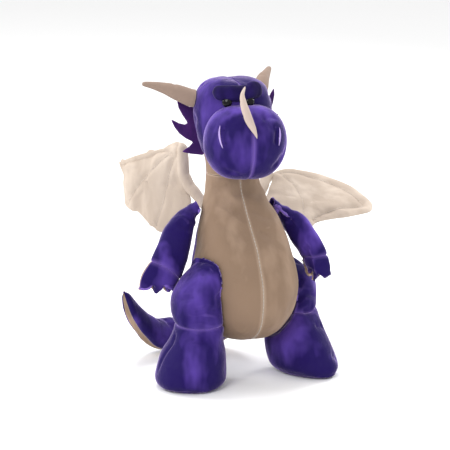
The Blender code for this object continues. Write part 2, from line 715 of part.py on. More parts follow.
# Sweep back, droop and lean back of each wing, in degrees.
WING_POSE = {"left": (8, 25, 68), "right": (62, 10, 4)}


def wing_frame(name, side):
    """Directions along the wing, up it and square to it, as it lies at rest."""
    sweep, droop, lean = (math.radians(value) for value in WING_POSE[name])
    out = np.array([side * math.cos(sweep), math.sin(sweep), 0.0])
    rear = np.array([-side * math.sin(sweep), math.cos(sweep), 0.0])
    up = np.array([0.0, 0.0, 1.0]) * math.cos(lean) + rear * math.sin(lean)
    along = out * math.cos(droop) - up * math.sin(droop)
    upward = up * math.cos(droop) + out * math.sin(droop)
    return along, upward


def bowed(first, last, sag, count=5):
    """Points from first up to last, bowed to the left of the way by sag."""
    first, last = np.array(first), np.array(last)
    step = last - first
    square = np.array([-step[1], step[0]]) / np.linalg.norm(step)
    return [tuple(first + step * t - square * sag * math.sin(math.pi * t)) for t in np.arange(count) / count]


def wing_outline(margin):
    """The sail's outline, margin metres inside its sewn edge and clear of the arm roll."""
    outline = []
    for first, last, sag in zip(WING_CORNERS, WING_CORNERS[1:], WING_SAG):
        outline += bowed(first, last, sag)
    outline.append(WING_CORNERS[-1])
    inner_edge = WING_ROLL_RADIUS + 2 * SEAM + WING_THICK / 2
    roll = smooth_rows(WING_ROLL, 6)
    step = np.gradient(roll, axis=0)
    square = np.column_stack([step[:, 1], -step[:, 0]]) / np.linalg.norm(step, axis=1)[:, None]
    outline += [tuple(point) for point in roll[1:] + inner_edge * square[1:]]
    points = np.array(outline)
    centre = points.mean(0)
    reach = np.linalg.norm(points - centre, axis=1, keepdims=True)
    return [tuple(p) for p in centre + (points - centre) * (1 - margin / reach)]


def wing(name, side):
    root = np.array([side * WING_ROOT_SIDE, BACK_REACH + WING_ROLL_RADIUS + WING_STANDOFF, WING_ROOT_HEIGHT])
    seam = pivot(f"wing_{name}_pivot", root)
    along, upward = wing_frame(name, side)
    off = (WING_THICK - WING_FABRIC) / 2
    padding = WING_THICK - 2 * WING_FABRIC - 2 * SEAM
    place = (root, along, upward)
    plate(f"wing_front_{name}", wing_outline(0), *place, WING_FABRIC, -side * off, CREAM, seam)
    plate(f"wing_back_{name}", wing_outline(0), *place, WING_FABRIC, side * off, CREAM, seam)
    plate(f"wing_batting_{name}", wing_outline(0.004), *place, padding, 0, FIBRE, seam)
    sizes = [0.78, 0.95, 1.0, 1.0, 0.95, 0.8]
    rows = [
        (*(root + a * along + b * upward), size * WING_ROLL_RADIUS, size * WING_ROLL_RADIUS)
        for (a, b), size in zip(WING_ROLL, sizes)
    ]
    solid(f"wing_arm_{name}", tube(rows, 9, 12, np.cross(along, upward)), CREAM, seam)


# ---------------------------------------------------------------- tail
# Offsets from the tail's seam on the back, then the share of the full radius.
TAIL_PATH = [
    (-0.004, 0.040, -0.0250, 1.00), (-0.022, 0.061, -0.0410, 0.94), (-0.055, 0.066, -0.0485, 0.80),
    (-0.090, 0.055, -0.0410, 0.66), (-0.117, 0.038, -0.0180, 0.48), (-0.138, 0.022, 0.0080, 0.32),
    (-0.153, 0.007, 0.0330, 0.17), (-0.159, 0.002, 0.0420, 0.00),
]
UNDERSIDE_COLUMNS = 2  # each way from the lowest line
TAIL_HEIGHT = 0.075
TAIL_STUB = 0.014  # how far the tail stands straight out of the back before it turns
TAIL_RINGS = 14


def tail():
    spot, normal = place_on(TORSO, TAIL_HEIGHT, math.pi)
    root = spot + ARM_STANDOFF * normal
    hinge = pivot("tail_pivot", root)
    rows = [(*(root + out * normal), 0.96 * TAIL_RADIUS, 0.96 * TAIL_RADIUS) for out in (0.0, TAIL_STUB)]
    rows += [(*(root + (x, y, z)), size * TAIL_RADIUS, size * TAIL_RADIUS) for x, y, z, size in TAIL_PATH]
    outer = tube(rows, TAIL_RINGS, LIMB_ROUND, (0, 0, 1))
    inner = inset(outer, SKIN)
    shorter = [rows_of(grid, 0, TAIL_RINGS - 2) for grid in (outer, inner)]
    under = (LIMB_ROUND // 2 - UNDERSIDE_COLUMNS, LIMB_ROUND // 2 + UNDERSIDE_COLUMNS)
    torso_grid = inset(stack(TORSO, TORSO_RINGS, ROUND), -LEG_CLEARANCE)
    upright = np.array([0.0, 0.0, 1.0])
    steps = (-TAIL_SWAY, 0, TAIL_SWAY)
    seats = [cutter(f"tail_seat_{n}", swung(torso_grid, root, upright, step)) for n, step in enumerate(steps)]
    top = [columns_of(grid, under[1], under[0] + LIMB_ROUND) for grid in shorter]
    pieces = [
        panel("tail_underside", *[columns_of(grid, *under) for grid in shorter], BEIGE, False, hinge),
        panel("tail_top", *top, PURPLE, False, hinge),
        solid("tail_stuffing", inset(outer, SKIN + SLACK), FIBRE, hinge),
    ]
    for piece in pieces:
        carve(piece, *seats)
        trim_to_largest(piece)


def stand_on_origin():
    """Move the whole toy so that its bounding box stands with the middle of its base on the origin."""
    bpy.context.view_layer.update()
    graph = bpy.context.evaluated_depsgraph_get()
    corners = []
    for piece in bpy.data.objects:
        if piece.type == "MESH" and not piece.hide_render:
            shown = piece.evaluated_get(graph)
            corners += [shown.matrix_world @ Vector(corner) for corner in shown.bound_box]
    corners = np.array(corners)
    middle = (corners.min(0) + corners.max(0)) / 2
    for piece in bpy.data.objects:
        if piece.parent is None:
            piece.location -= Vector((middle[0], middle[1], corners[:, 2].min()))


torso()
head()
for limb, hand in SIDES.items():
    arm(limb, hand)
    leg(limb, hand)
    wing(limb, hand)
tail()
stand_on_origin()
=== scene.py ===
# %% [markdown]
# # A stuffed dragon, sewn panel by panel
# The real toy is short-pile velour cut into panels, sewn inside out, turned and filled with fibre.
# This lesson rebuilds each sewn form around a fixed frame of solids that already has the right sizes and joints.
# The frame is loaded first, because every later piece takes its place from it and moves with one of its bodies.

# %% Load the frame
import math

import bmesh
import bpy
import numpy as np
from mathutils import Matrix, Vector, noise
from mathutils.bvhtree import BVHTree
from mathutils.geometry import delaunay_2d_cdt
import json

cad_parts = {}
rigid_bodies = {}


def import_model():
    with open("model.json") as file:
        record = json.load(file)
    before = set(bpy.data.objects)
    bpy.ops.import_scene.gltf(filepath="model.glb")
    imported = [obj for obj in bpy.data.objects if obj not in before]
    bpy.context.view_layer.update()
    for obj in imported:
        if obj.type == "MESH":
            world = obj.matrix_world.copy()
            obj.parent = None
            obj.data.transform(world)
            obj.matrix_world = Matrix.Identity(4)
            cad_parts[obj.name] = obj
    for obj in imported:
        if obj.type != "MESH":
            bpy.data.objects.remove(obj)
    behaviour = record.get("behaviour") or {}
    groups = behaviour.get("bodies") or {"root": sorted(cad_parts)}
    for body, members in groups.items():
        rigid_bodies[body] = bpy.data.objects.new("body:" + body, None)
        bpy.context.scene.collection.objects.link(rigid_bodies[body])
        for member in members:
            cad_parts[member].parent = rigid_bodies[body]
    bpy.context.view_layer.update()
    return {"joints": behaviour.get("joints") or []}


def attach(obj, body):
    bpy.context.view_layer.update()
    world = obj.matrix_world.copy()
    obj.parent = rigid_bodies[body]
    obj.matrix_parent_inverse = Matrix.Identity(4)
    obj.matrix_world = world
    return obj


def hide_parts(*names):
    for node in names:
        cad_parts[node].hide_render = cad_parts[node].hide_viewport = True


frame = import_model()

# %% [markdown]
# The pattern's own measurements are taken from the middle of the torso, while the frame stands with the middle
# of its box on the origin. The tail's hinge is known in both, so it gives the step from one to the other.

# %% Where the pattern's origin lies in the frame
hinges = {joint["name"]: np.array(joint["pos_m"]) for joint in frame["joints"]}
PATTERN_NECK = np.array([-0.005, 0.019, 0.2835])
STEP = hinges["head_turn"] - PATTERN_NECK
print("pattern origin in the frame", STEP.round(4))

# %% [markdown]
# The camera comes next, so that each piece can be judged from the same place. A long lens far away keeps the
# feet and the head at nearly the same scale, as product pictures do. Nothing is blurred: depth of field stays off.

# %% Camera
CAMERA_TURN, CAMERA_RISE, CAMERA_FAR = math.radians(18), math.radians(13), 3.0
TARGET = Vector((-0.022, 0.0, 0.2114)) + Vector(STEP)
ahead = Vector((
    math.sin(CAMERA_TURN) * math.cos(CAMERA_RISE), math.cos(CAMERA_TURN) * math.cos(CAMERA_RISE), -math.sin(CAMERA_RISE),
))
camera = bpy.data.objects.new("camera", bpy.data.cameras.new("camera"))
camera.data.lens = 171.4
camera.data.sensor_width = 36
camera.location = TARGET - CAMERA_FAR * ahead
camera.rotation_euler = ahead.to_track_quat("-Z", "Y").to_euler()
bpy.context.scene.collection.objects.link(camera)
bpy.context.scene.camera = camera
print("camera at", [round(v, 2) for v in camera.location])

# %% [markdown]
# A pale floor catches a soft shadow under the feet. It is a stage piece, not part of the toy. Broad lamps and a
# bright surround are used rather than one hard lamp, because velour shows its pile best where light grazes it.

# %% Floor, surround and lamps
def plain(name, colour, roughness=0.8):
    made = bpy.data.materials.new(name)
    made.use_nodes = True
    shader = made.node_tree.nodes["Principled BSDF"]
    shader.inputs["Base Color"].default_value = (*colour, 1)
    shader.inputs["Roughness"].default_value = roughness
    return made


def sheet_of_floor(half=6.0):
    mesh = bpy.data.meshes.new("floor")
    mesh.from_pydata([(-half, -half, 0), (half, -half, 0), (half, half, 0), (-half, half, 0)], [], [(0, 1, 2, 3)])
    mesh.materials.append(plain("floor_paint", (0.97, 0.97, 0.97)))
    floor = bpy.data.objects.new("floor", mesh)
    floor.location.z = -0.0006
    bpy.context.scene.collection.objects.link(floor)


def lamp(name, place, energy, size, colour=(1, 1, 1)):
    light = bpy.data.lights.new(name, "AREA")
    light.energy, light.size, light.color = energy, size, colour
    made = bpy.data.objects.new(name, light)
    made.location = Vector(place)
    made.rotation_euler = (TARGET - made.location).to_track_quat("-Z", "Y").to_euler()
    bpy.context.scene.collection.objects.link(made)


sheet_of_floor()
surround = bpy.data.worlds.new("surround")
surround.use_nodes = True
surround.node_tree.nodes["Background"].inputs["Color"].default_value = (1, 1, 1, 1)
surround.node_tree.nodes["Background"].inputs["Strength"].default_value = 0.9
bpy.context.scene.world = surround
lamp("key", (-1.6, -1.9, 2.2), 34, 1.2)
lamp("rim_left", (-1.9, 1.3, 1.3), 26, 0.9)
lamp("rim_right", (1.9, 1.0, 1.2), 30, 0.9)
lamp("above", (-0.1, 0.7, 2.3), 26, 0.8)
bpy.context.scene.view_settings.view_transform = "Standard"

# %% [markdown]
# ## Grids of points
# Every stuffed form is a grid: rings along it and columns round it. A grid is easy to shape with arithmetic, and
# a seam is simply a row or a column. Curves through a few measured rings keep the outline smooth.

# %% Rings along a curve
def smooth_rows(rows, count):
    """Even steps along a smooth curve through the measured rows."""
    rows = np.array(rows, float)
    ends = np.vstack([2 * rows[0] - rows[1], rows, 2 * rows[-1] - rows[-2]])
    found = []
    for place in np.linspace(0, len(rows) - 1, count):
        first = min(int(place), len(rows) - 2)
        t = place - first
        a, b, c, d = ends[first:first + 4]
        found.append(0.5 * (2 * b + (c - a) * t + (2 * a - 5 * b + 4 * c - d) * t**2 + (3 * b - 3 * c + d - a) * t**3))
    return np.array(found)


def stack(rows, rings, columns):
    """Level rings: height, centre x, centre y, half width, half depth, turn. Column 0 faces the front."""
    angle = 2 * math.pi * np.arange(columns) / columns
    grid = []
    for z, x, y, half_width, half_depth, turn in smooth_rows(rows, rings):
        side = max(half_width, 0) * np.sin(angle)
        front = -max(half_depth, 0) * np.cos(angle)
        c, s = math.cos(math.radians(turn)), math.sin(math.radians(turn))
        grid.append(np.column_stack([x + side * c - front * s, y + side * s + front * c, np.full(columns, z)]))
    return np.array(grid)


def tube(rows, rings, columns, across):
    """Rings square to a curve: x, y, z, then the half sizes along and square to a carried direction."""
    rows = smooth_rows(rows, rings)
    tangents = np.gradient(rows[:, :3], axis=0)
    tangents /= np.linalg.norm(tangents, axis=1)[:, None]
    angle = 2 * math.pi * np.arange(columns) / columns
    carried, grid = np.array(across, float), []
    for centre, tangent, (first, second) in zip(rows[:, :3], tangents, rows[:, 3:5]):
        carried = carried - (carried @ tangent) * tangent
        carried /= np.linalg.norm(carried)
        other = np.cross(tangent, carried)
        first, second = max(first, 0), max(second, 0)
        grid.append(centre + np.outer(first * np.cos(angle), carried) + np.outer(second * np.sin(angle), other))
    return np.array(grid)


def is_point(ring):
    return np.ptp(ring, axis=0).max() < 1e-6


# %% [markdown]
# Fabric needs to know which way is out. The outward direction at each grid point comes from its four neighbours.
# With it, a fold is a push along the surface's own normal, strongest on a line and fading to both sides.

# %% Outward directions, folds and unevenness
def outward(grid):
    along = np.gradient(grid, axis=0)
    around = np.roll(grid, -1, 1) - np.roll(grid, 1, 1)
    normal = np.cross(around, along)
    length = np.linalg.norm(normal, axis=2, keepdims=True)
    normal = normal / np.where(length < 1e-12, 1, length)
    middle = len(grid) // 2
    if ((grid[middle] - grid[middle].mean(0)) * normal[middle]).sum() < 0:
        normal = -normal
    for end, neighbour in ((0, 1), (-1, -2)):
        if is_point(grid[end]):
            away = grid[end].mean(0) - grid[neighbour].mean(0)
            normal[end] = away / np.linalg.norm(away)
    return normal


def distance_to(grid, path):
    """Distance from each grid point to a line of points, and how far along the line its nearest place is."""
    path = np.array(path, float)
    best, where = np.full(grid.shape[:2], 9.0), np.zeros(grid.shape[:2])
    for n, (first, last) in enumerate(zip(path, path[1:])):
        way = last - first
        share = np.clip(((grid - first) @ way) / max(way @ way, 1e-12), 0, 1)
        gap = np.linalg.norm(grid - first - share[..., None] * way, axis=2)
        closer = gap < best
        best = np.where(closer, gap, best)
        where = np.where(closer, (n + share) / (len(path) - 1), where)
    return best, where


def fold(grid, path, width, depth, fade=True):
    """A valley (depth above 0) or a ridge (below 0) along a line that lies on or near the surface."""
    gap, where = distance_to(grid, path)
    strength = np.exp(-(gap / width) ** 2)
    if fade:
        strength = strength * np.clip(np.sin(math.pi * np.clip(where, 0.02, 0.98)) * 1.6, 0, 1)
    return grid - (depth * strength)[..., None] * outward(grid)


def at(grid, ring, column):
    """The point a share of the way along the rings and round the columns, both from 0 to 1."""
    i = min(max(ring, 0), 1) * (len(grid) - 1)
    j = (column % 1) * grid.shape[1]
    low, left = int(i), int(j)
    high, right = min(low + 1, len(grid) - 1), (left + 1) % grid.shape[1]
    u, v = i - low, j - left
    lower = grid[low, left % grid.shape[1]] * (1 - v) + grid[low, right] * v
    upper = grid[high, left % grid.shape[1]] * (1 - v) + grid[high, right] * v
    return lower * (1 - u) + upper * u


def folds(grid, lines, wider=1.0, deeper=1.0):
    """Several folds, each a line of ring and column shares with its width and depth in millimetres."""
    for shares, width, depth in lines:
        path = [at(grid, *shares[0])]
        for (r0, c0), (r1, c1) in zip(shares, shares[1:]):
            path += [at(grid, r0 + (r1 - r0) * t, c0 + (c1 - c0) * t) for t in (0.25, 0.5, 0.75, 1.0)]
        grid = fold(grid, path, wider * width / 1000, deeper * depth / 1000)
    return grid


def finer(grid):
    """Twice the rings and columns, through smooth curves, so that narrow folds have points to bend."""
    middle = (9 * (grid + np.roll(grid, -1, 1)) - np.roll(grid, 1, 1) - np.roll(grid, -2, 1)) / 16
    wide = np.empty((grid.shape[0], 2 * grid.shape[1], 3))
    wide[:, 0::2], wide[:, 1::2] = grid, middle
    ends = np.concatenate([2 * wide[:1] - wide[1:2], wide, 2 * wide[-1:] - wide[-2:-1]])
    tall = np.empty((2 * len(wide) - 1, wide.shape[1], 3))
    tall[0::2], tall[1::2] = wide, (9 * (ends[1:-2] + ends[2:-1]) - ends[:-3] - ends[3:]) / 16
    return tall


def uneven(grid, size, depth, seed):
    """Gentle lumps where the filling is fuller, about size metres across."""
    push = np.array([
        [noise.noise(Vector(point / size) + Vector((seed * 7.3, seed * 3.1, 0))) for point in ring] for ring in grid
    ])
    return grid + (depth * push)[..., None] * outward(grid)


print("grid helpers ready")

# %% [markdown]
# ## Filling the cloth
# A stuffed form is cloth blown out by its filling and held in at its seams. Cloth simulation gives this: the form
# starts a little slim, the fabric may grow by a few hundredths, the seams stay pinned, and pressure pushes from
# inside. The movement is capped, so that the form keeps its size.

# %% Simulate one form
def grid_mesh(name, grid):
    """One closed mesh of a grid, and the mesh vertex of each grid point."""
    rings, columns = grid.shape[:2]
    points, index = [], np.zeros((rings, columns), int)
    for i in range(rings):
        if is_point(grid[i]):
            index[i] = len(points)
            points.append(grid[i, 0])
        else:
            index[i] = len(points) + np.arange(columns)
            points.extend(grid[i])
    faces = []
    for i in range(rings - 1):
        for j in range(columns):
            k = (j + 1) % columns
            face = [index[i, j], index[i, k], index[i + 1, k], index[i + 1, j]]
            faces.append([int(v) for n, v in enumerate(face) if v not in face[:n]])
    for end in (0, -1):
        if not is_point(grid[end]):
            centre = len(points)
            points.append(grid[end].mean(0))
            for j in range(columns):
                pair = [int(index[end, j]), int(index[end, (j + 1) % columns])]
                faces.append([*(pair[::-1] if end == 0 else pair), centre])
    mesh = bpy.data.meshes.new(name)
    mesh.from_pydata([tuple(p) for p in points], [], faces)
    return mesh, index


def fill_out(name, grid, seams=(), rows=(), slim=0.0015, grow=0.05, pressure=4.0, cap=0.005, steps=20):
    """The grid after its cloth has been filled. seams are columns and rows are rings that stay pinned."""
    start = grid - slim * outward(grid)
    start[[i for i in (0, -1) if is_point(grid[i])]] = grid[[i for i in (0, -1) if is_point(grid[i])]]
    mesh, index = grid_mesh(name, start)
    form = bpy.data.objects.new(name, mesh)
    bpy.context.scene.collection.objects.link(form)
    held = form.vertex_groups.new(name="held")
    pinned = {int(v) for j in seams for v in index[:, j % grid.shape[1]]} | {int(v) for i in rows for v in index[i]}
    for end in (0, -1):
        if not is_point(grid[end]):
            pinned |= {int(v) for v in index[end]} | {len(mesh.vertices) - 1}
    held.add(sorted(pinned), 1.0, "REPLACE")
    cloth = form.modifiers.new("cloth", "CLOTH")
    cloth.settings.quality = 5
    cloth.settings.mass = 0.25
    cloth.settings.tension_stiffness = cloth.settings.compression_stiffness = 12
    cloth.settings.shear_stiffness = 4
    cloth.settings.bending_stiffness = 0.3
    cloth.settings.use_pressure = True
    cloth.settings.uniform_pressure_force = pressure
    cloth.settings.shrink_min = -grow
    cloth.settings.vertex_group_mass = "held"
    cloth.settings.effector_weights.gravity = 0
    cloth.collision_settings.use_collision = False
    cloth.point_cache.frame_start, cloth.point_cache.frame_end = 1, steps
    for step in range(1, steps + 1):
        bpy.context.scene.frame_set(step)
    shaped = form.evaluated_get(bpy.context.evaluated_depsgraph_get()).to_mesh()
    places = np.zeros(len(shaped.vertices) * 3)
    shaped.vertices.foreach_get("co", places)
    moved = places.reshape(-1, 3)[index] - grid
    bpy.data.objects.remove(form)
    bpy.context.scene.frame_set(1)
    way = outward(grid)
    swell = np.sum(moved * way, axis=2)
    print(name, "filled, moved up to", round(float(np.abs(swell).max()) * 1000, 1), "mm")
    swell = np.clip(swell, -cap, cap)
    for _ in range(3):
        swell = (2 * swell + np.roll(swell, 1, axis=1) + np.roll(swell, -1, axis=1)) / 4
        beside = np.vstack([swell[:1], swell, swell[-1:]])
        swell = (2 * swell + beside[:-2] + beside[2:]) / 4
    return grid + swell[..., None] * way


# %% [markdown]
# ## Cutting a form into its panels
# After filling, each form is cut along its seams into the fabric panels that the real toy has. A panel has
# thickness, and its edge turns down into the seam, which leaves the fine valley that a sewn seam shows.

# %% Panels of fabric
FABRIC = 0.0016
TUCK = 0.0015
KEEP_OPEN = -0.0006


def surface(name, points, faces, material, smooth=1):
    mesh = bpy.data.meshes.new(name)
    mesh.from_pydata([tuple(p + STEP) for p in points], [], [list(map(int, face)) for face in faces])
    shape = bmesh.new()
    shape.from_mesh(mesh)
    bmesh.ops.remove_doubles(shape, verts=shape.verts, dist=1e-6)
    bmesh.ops.dissolve_degenerate(shape, edges=shape.edges, dist=1e-7)
    bmesh.ops.recalc_face_normals(shape, faces=shape.faces)
    shape.to_mesh(mesh)
    shape.free()
    mesh.materials.append(material)
    mesh.shade_smooth()
    made = bpy.data.objects.new(name, mesh)
    bpy.context.scene.collection.objects.link(made)
    if smooth:
        rounder = made.modifiers.new("round", "SUBSURF")
        rounder.levels = rounder.render_levels = smooth
    return made


def quads(numbers, wrap):
    rings, columns = numbers.shape
    found = []
    for i in range(rings - 1):
        for j in range(columns if wrap else columns - 1):
            k = (j + 1) % columns
            found.append((numbers[i, j], numbers[i, k], numbers[i + 1, k], numbers[i + 1, j]))
    return found


def tucked_edges(outer, direction, wrap, ends):
    """Edges drawn in a hair and turned down into the seam."""
    down = np.zeros(outer.shape[:2])
    for use, edge, next_one in ((ends[0], 0, 1), (ends[1], -1, -2)):
        if use and not is_point(outer[edge]):
            step = outer[next_one] - outer[edge]
            outer[edge] += step * KEEP_OPEN / np.maximum(np.linalg.norm(step, axis=1, keepdims=True), 1e-6)
            down[edge] = TUCK
            down[next_one] = np.maximum(down[next_one], TUCK * 0.2)
    if not wrap:
        for edge, next_one in ((0, 1), (-1, -2)):
            step = outer[:, next_one] - outer[:, edge]
            outer[:, edge] += step * KEEP_OPEN / np.maximum(np.linalg.norm(step, axis=1, keepdims=True), 1e-6)
            down[:, edge] = TUCK
            down[:, next_one] = np.maximum(down[:, next_one], TUCK * 0.2)
    return outer - down[..., None] * direction


def panel(name, grid, material, rows=None, columns=None, ends=(True, True), thick=FABRIC, smooth=0):
    """Fabric over part of a form: rings first to last and columns first to last, or all the way round."""
    direction = outward(grid)
    first, last = rows or (0, len(grid) - 1)
    wrap = columns is None
    picked = np.arange(grid.shape[1]) if wrap else np.arange(columns[0], columns[1] + 1) % grid.shape[1]
    direction = direction[first:last + 1][:, picked]
    outer = tucked_edges(grid[first:last + 1][:, picked].copy(), direction, wrap, ends)
    inner = outer - thick * direction
    count = outer.shape[0] * outer.shape[1]
    out = np.arange(count).reshape(outer.shape[:2])
    back = out + count
    faces = quads(out, wrap) + [face[::-1] for face in quads(back, wrap)]
    for end in (0, -1):
        if not is_point(outer[end]):
            edge = quads(np.vstack([out[end], back[end]]), wrap)
            faces += edge if end else [face[::-1] for face in edge]
    if not wrap:
        for side in (0, -1):
            edge = quads(np.vstack([out[:, side], back[:, side]]), False)
            faces += edge if side == 0 else [face[::-1] for face in edge]
    return surface(name, np.vstack([outer.reshape(-1, 3), inner.reshape(-1, 3)]), faces, material, smooth)


def stuffed(name, grid, material, smooth=1):
    """A closed form in one piece, such as a horn, with flat ends where the grid is open."""
    numbers = np.arange(grid.shape[0] * grid.shape[1]).reshape(grid.shape[:2])
    faces = quads(numbers, True)
    for end in (0, -1):
        if not is_point(grid[end]):
            faces.append(tuple(numbers[end][::-1]) if end == 0 else tuple(numbers[end]))
    return surface(name, grid.reshape(-1, 3), faces, material, smooth)


# %% [markdown]
# Thread is real geometry too. A row of stitches is a row of short rounded strands laid along the seam line,
# each dipping into the cloth at its ends.

# %% Rows of stitches
def stitches(name, path, outwards, material, length=0.0034, gap=0.0014, radius=0.00034, lift=0.0):
    path, outwards = np.array(path), np.array(outwards)
    reach = np.concatenate([[0], np.cumsum(np.linalg.norm(np.diff(path, axis=0), axis=1))])
    points, faces, start = [], [], gap
    while start + length < reach[-1]:
        marks = np.linspace(start, start + length, 5)
        centre = np.column_stack([np.interp(marks, reach, path[:, k]) for k in range(3)])
        up = np.column_stack([np.interp(marks, reach, outwards[:, k]) for k in range(3)])
        up /= np.linalg.norm(up, axis=1)[:, None]
        arch = np.array([-1.2, 0.5, 0.9, 0.5, -1.2])[:, None] * radius + lift
        rows = np.column_stack([centre + arch * up, np.array([0.4, 1, 1, 1, 0.4]) * radius, np.array([0.4, 1, 1, 1, 0.4]) * radius])
        strand = tube(rows, 5, 6, up[0])
        base = len(points)
        numbers = base + np.arange(strand.shape[0] * 6).reshape(-1, 6)
        points.extend(strand.reshape(-1, 3))
        faces += quads(numbers, True) + [tuple(numbers[0][::-1]), tuple(numbers[-1])]
        start += length + gap
    made = surface(name, points, faces, material, smooth=0)
    print(name, "has", len(faces) // 26, "stitches")
    return made


# %% [markdown]
# ## Velour, felt and thread
# Velour is a knit with short upright pile. It looks dark where you look straight into the pile and pale where
# light grazes it, so the shader gets a strong tinted sheen over a deep base colour. Slow noise places strokes, where
# a hand laid the pile another way, in a lighter colour that is painted sheen; fine noise in the bump is the pile
# itself.
# Folds get painted shade, and ridges a paler colour that is partly pile worn flat and partly painted highlight; the
# shader reads both from how sharply the surface bends.

# %% Pile fabrics
def nodes_of(name):
    material = bpy.data.materials.new(name)
    material.use_nodes = True
    tree = material.node_tree
    return material, tree, tree.nodes["Principled BSDF"]


def noise_of(tree, scale, detail=2.0, stretch=(1, 1, 1), rough=0.5):
    where = tree.nodes.new("ShaderNodeTexCoord")
    turn = tree.nodes.new("ShaderNodeMapping")
    turn.inputs["Scale"].default_value = stretch
    grain = tree.nodes.new("ShaderNodeTexNoise")
    grain.inputs["Scale"].default_value = scale
    grain.inputs["Detail"].default_value = detail
    grain.inputs["Roughness"].default_value = rough
    tree.links.new(where.outputs["Object"], turn.inputs["Vector"])
    tree.links.new(turn.outputs["Vector"], grain.inputs["Vector"])
    return grain.outputs["Fac"]


def mixed(tree, share, low, high):
    """A colour between low and high; each is a plain colour or another node's output."""
    mix = tree.nodes.new("ShaderNodeMix")
    mix.data_type = "RGBA"
    for socket, value in ((mix.inputs["A"], low), (mix.inputs["B"], high)):
        if isinstance(value, tuple):
            socket.default_value = (*value, 1)
        else:
            tree.links.new(value, socket)
    tree.links.new(share, mix.inputs["Factor"])
    return mix.outputs["Result"]


def ramp(tree, value, low, high, top=1.0):
    """0 below low and top above high."""
    span = tree.nodes.new("ShaderNodeMapRange")
    span.inputs["From Min"].default_value, span.inputs["From Max"].default_value = low, high
    span.inputs["To Max"].default_value = top
    tree.links.new(value, span.inputs["Value"])
    return span.outputs["Result"]


def pile_fabric(name, deep, brushed_sheen, worn_and_highlit, tint, sheen=0.7, pile=0.5, brush_size=22):
    material, tree, shader = nodes_of(name)
    strokes = ramp(tree, noise_of(tree, brush_size, 3, (1, 1, 0.45)), 0.48, 0.68)
    patches = ramp(tree, noise_of(tree, 7, 1), 0.35, 0.65, 0.45)
    bend = tree.nodes.new("ShaderNodeNewGeometry").outputs["Pointiness"]
    # Strokes at random places take a lighter colour: painted sheen of pile lying another way.
    base = mixed(tree, strokes, deep, brushed_sheen)
    base = mixed(tree, patches, base, deep)
    # Sharp ridges turn paler: partly pile worn flat, partly painted highlight.
    base = mixed(tree, ramp(tree, bend, 0.515, 0.60, 0.75), base, worn_and_highlit)
    # Folds and hollows turn darker: painted shade.
    shadowed = tuple(0.35 * c for c in deep)
    base = mixed(tree, ramp(tree, bend, 0.485, 0.42, 0.8), base, shadowed)
    tree.links.new(base, shader.inputs["Base Color"])
    tree.links.new(ramp(tree, noise_of(tree, 60, 2), 0.3, 0.7, 1.0), shader.inputs["Roughness"])
    for link in list(shader.inputs["Roughness"].links):
        link.from_node.inputs["To Min"].default_value = 0.72
        link.from_node.inputs["To Max"].default_value = 0.95
    tufts = tree.nodes.new("ShaderNodeBump")
    tufts.inputs["Strength"].default_value = pile
    tufts.inputs["Distance"].default_value = 0.0005
    tree.links.new(noise_of(tree, 1500, 2), tufts.inputs["Height"])
    clumps = tree.nodes.new("ShaderNodeBump")
    clumps.inputs["Strength"].default_value = 0.35
    clumps.inputs["Distance"].default_value = 0.0012
    tree.links.new(noise_of(tree, 240, 3, (1, 1, 0.5)), clumps.inputs["Height"])
    tree.links.new(tufts.outputs["Normal"], clumps.inputs["Normal"])
    tree.links.new(clumps.outputs["Normal"], shader.inputs["Normal"])
    shader.inputs["Sheen Weight"].default_value = sheen
    shader.inputs["Sheen Roughness"].default_value = 0.27
    shader.inputs["Sheen Tint"].default_value = (*tint, 1)
    shader.inputs["Specular IOR Level"].default_value = 0.15
    return material


PURPLE = pile_fabric("purple_velour", (0.012, 0.0045, 0.080), (0.10, 0.052, 0.34), (0.24, 0.145, 0.54), (0.74, 0.58, 1.0), 0.8)
# A darker copy of the purple velour with less sheen, for the brow pad: painted shade.
SHADED_BROW = pile_fabric("brow_velour", (0.006, 0.002, 0.040), (0.022, 0.010, 0.11), (0.12, 0.065, 0.34), (0.74, 0.58, 1.0), 0.25)
BEIGE = pile_fabric("belly_velour", (0.235, 0.158, 0.108), (0.345, 0.242, 0.172), (0.60, 0.46, 0.355), (1.0, 0.92, 0.85), 0.16, 0.3)
CREAM = pile_fabric("wing_velour", (0.44, 0.36, 0.295), (0.59, 0.50, 0.42), (0.78, 0.69, 0.60), (1.0, 0.95, 0.9), 0.15, 0.3)
HORN = pile_fabric("horn_velour", (0.27, 0.195, 0.155), (0.36, 0.27, 0.215), (0.60, 0.49, 0.41), (1.0, 0.93, 0.88), 0.15, 0.3)
PALE_HORN = pile_fabric("muzzle_horn_velour", (0.50, 0.40, 0.35), (0.62, 0.53, 0.47), (0.80, 0.72, 0.66), (1.0, 0.95, 0.92), 0.15, 0.3)
# Pale lavender velour for the nostril lips: painted highlight.
NOSTRIL_HIGHLIGHT = pile_fabric("nostril_piping", (0.42, 0.30, 0.66), (0.55, 0.42, 0.78), (0.75, 0.65, 0.92), (0.9, 0.8, 1.0), 0.3, 0.3)
PLUM = pile_fabric("frill_felt", (0.030, 0.007, 0.075), (0.060, 0.012, 0.115), (0.085, 0.022, 0.15), (0.7, 0.4, 0.9), 0.08, 0.8, 60)
print("pile fabrics", [m.name for m in (PURPLE, SHADED_BROW, BEIGE, CREAM, HORN, PALE_HORN, NOSTRIL_HIGHLIGHT, PLUM)])


# %% [markdown]
# Thread is twisted, so it gets fine slanting ribs. The eyes are moulded buttons with a hard gloss, faint dust
# and hairline rubs. A fluffy material of spun fibre is made for the filling as well.

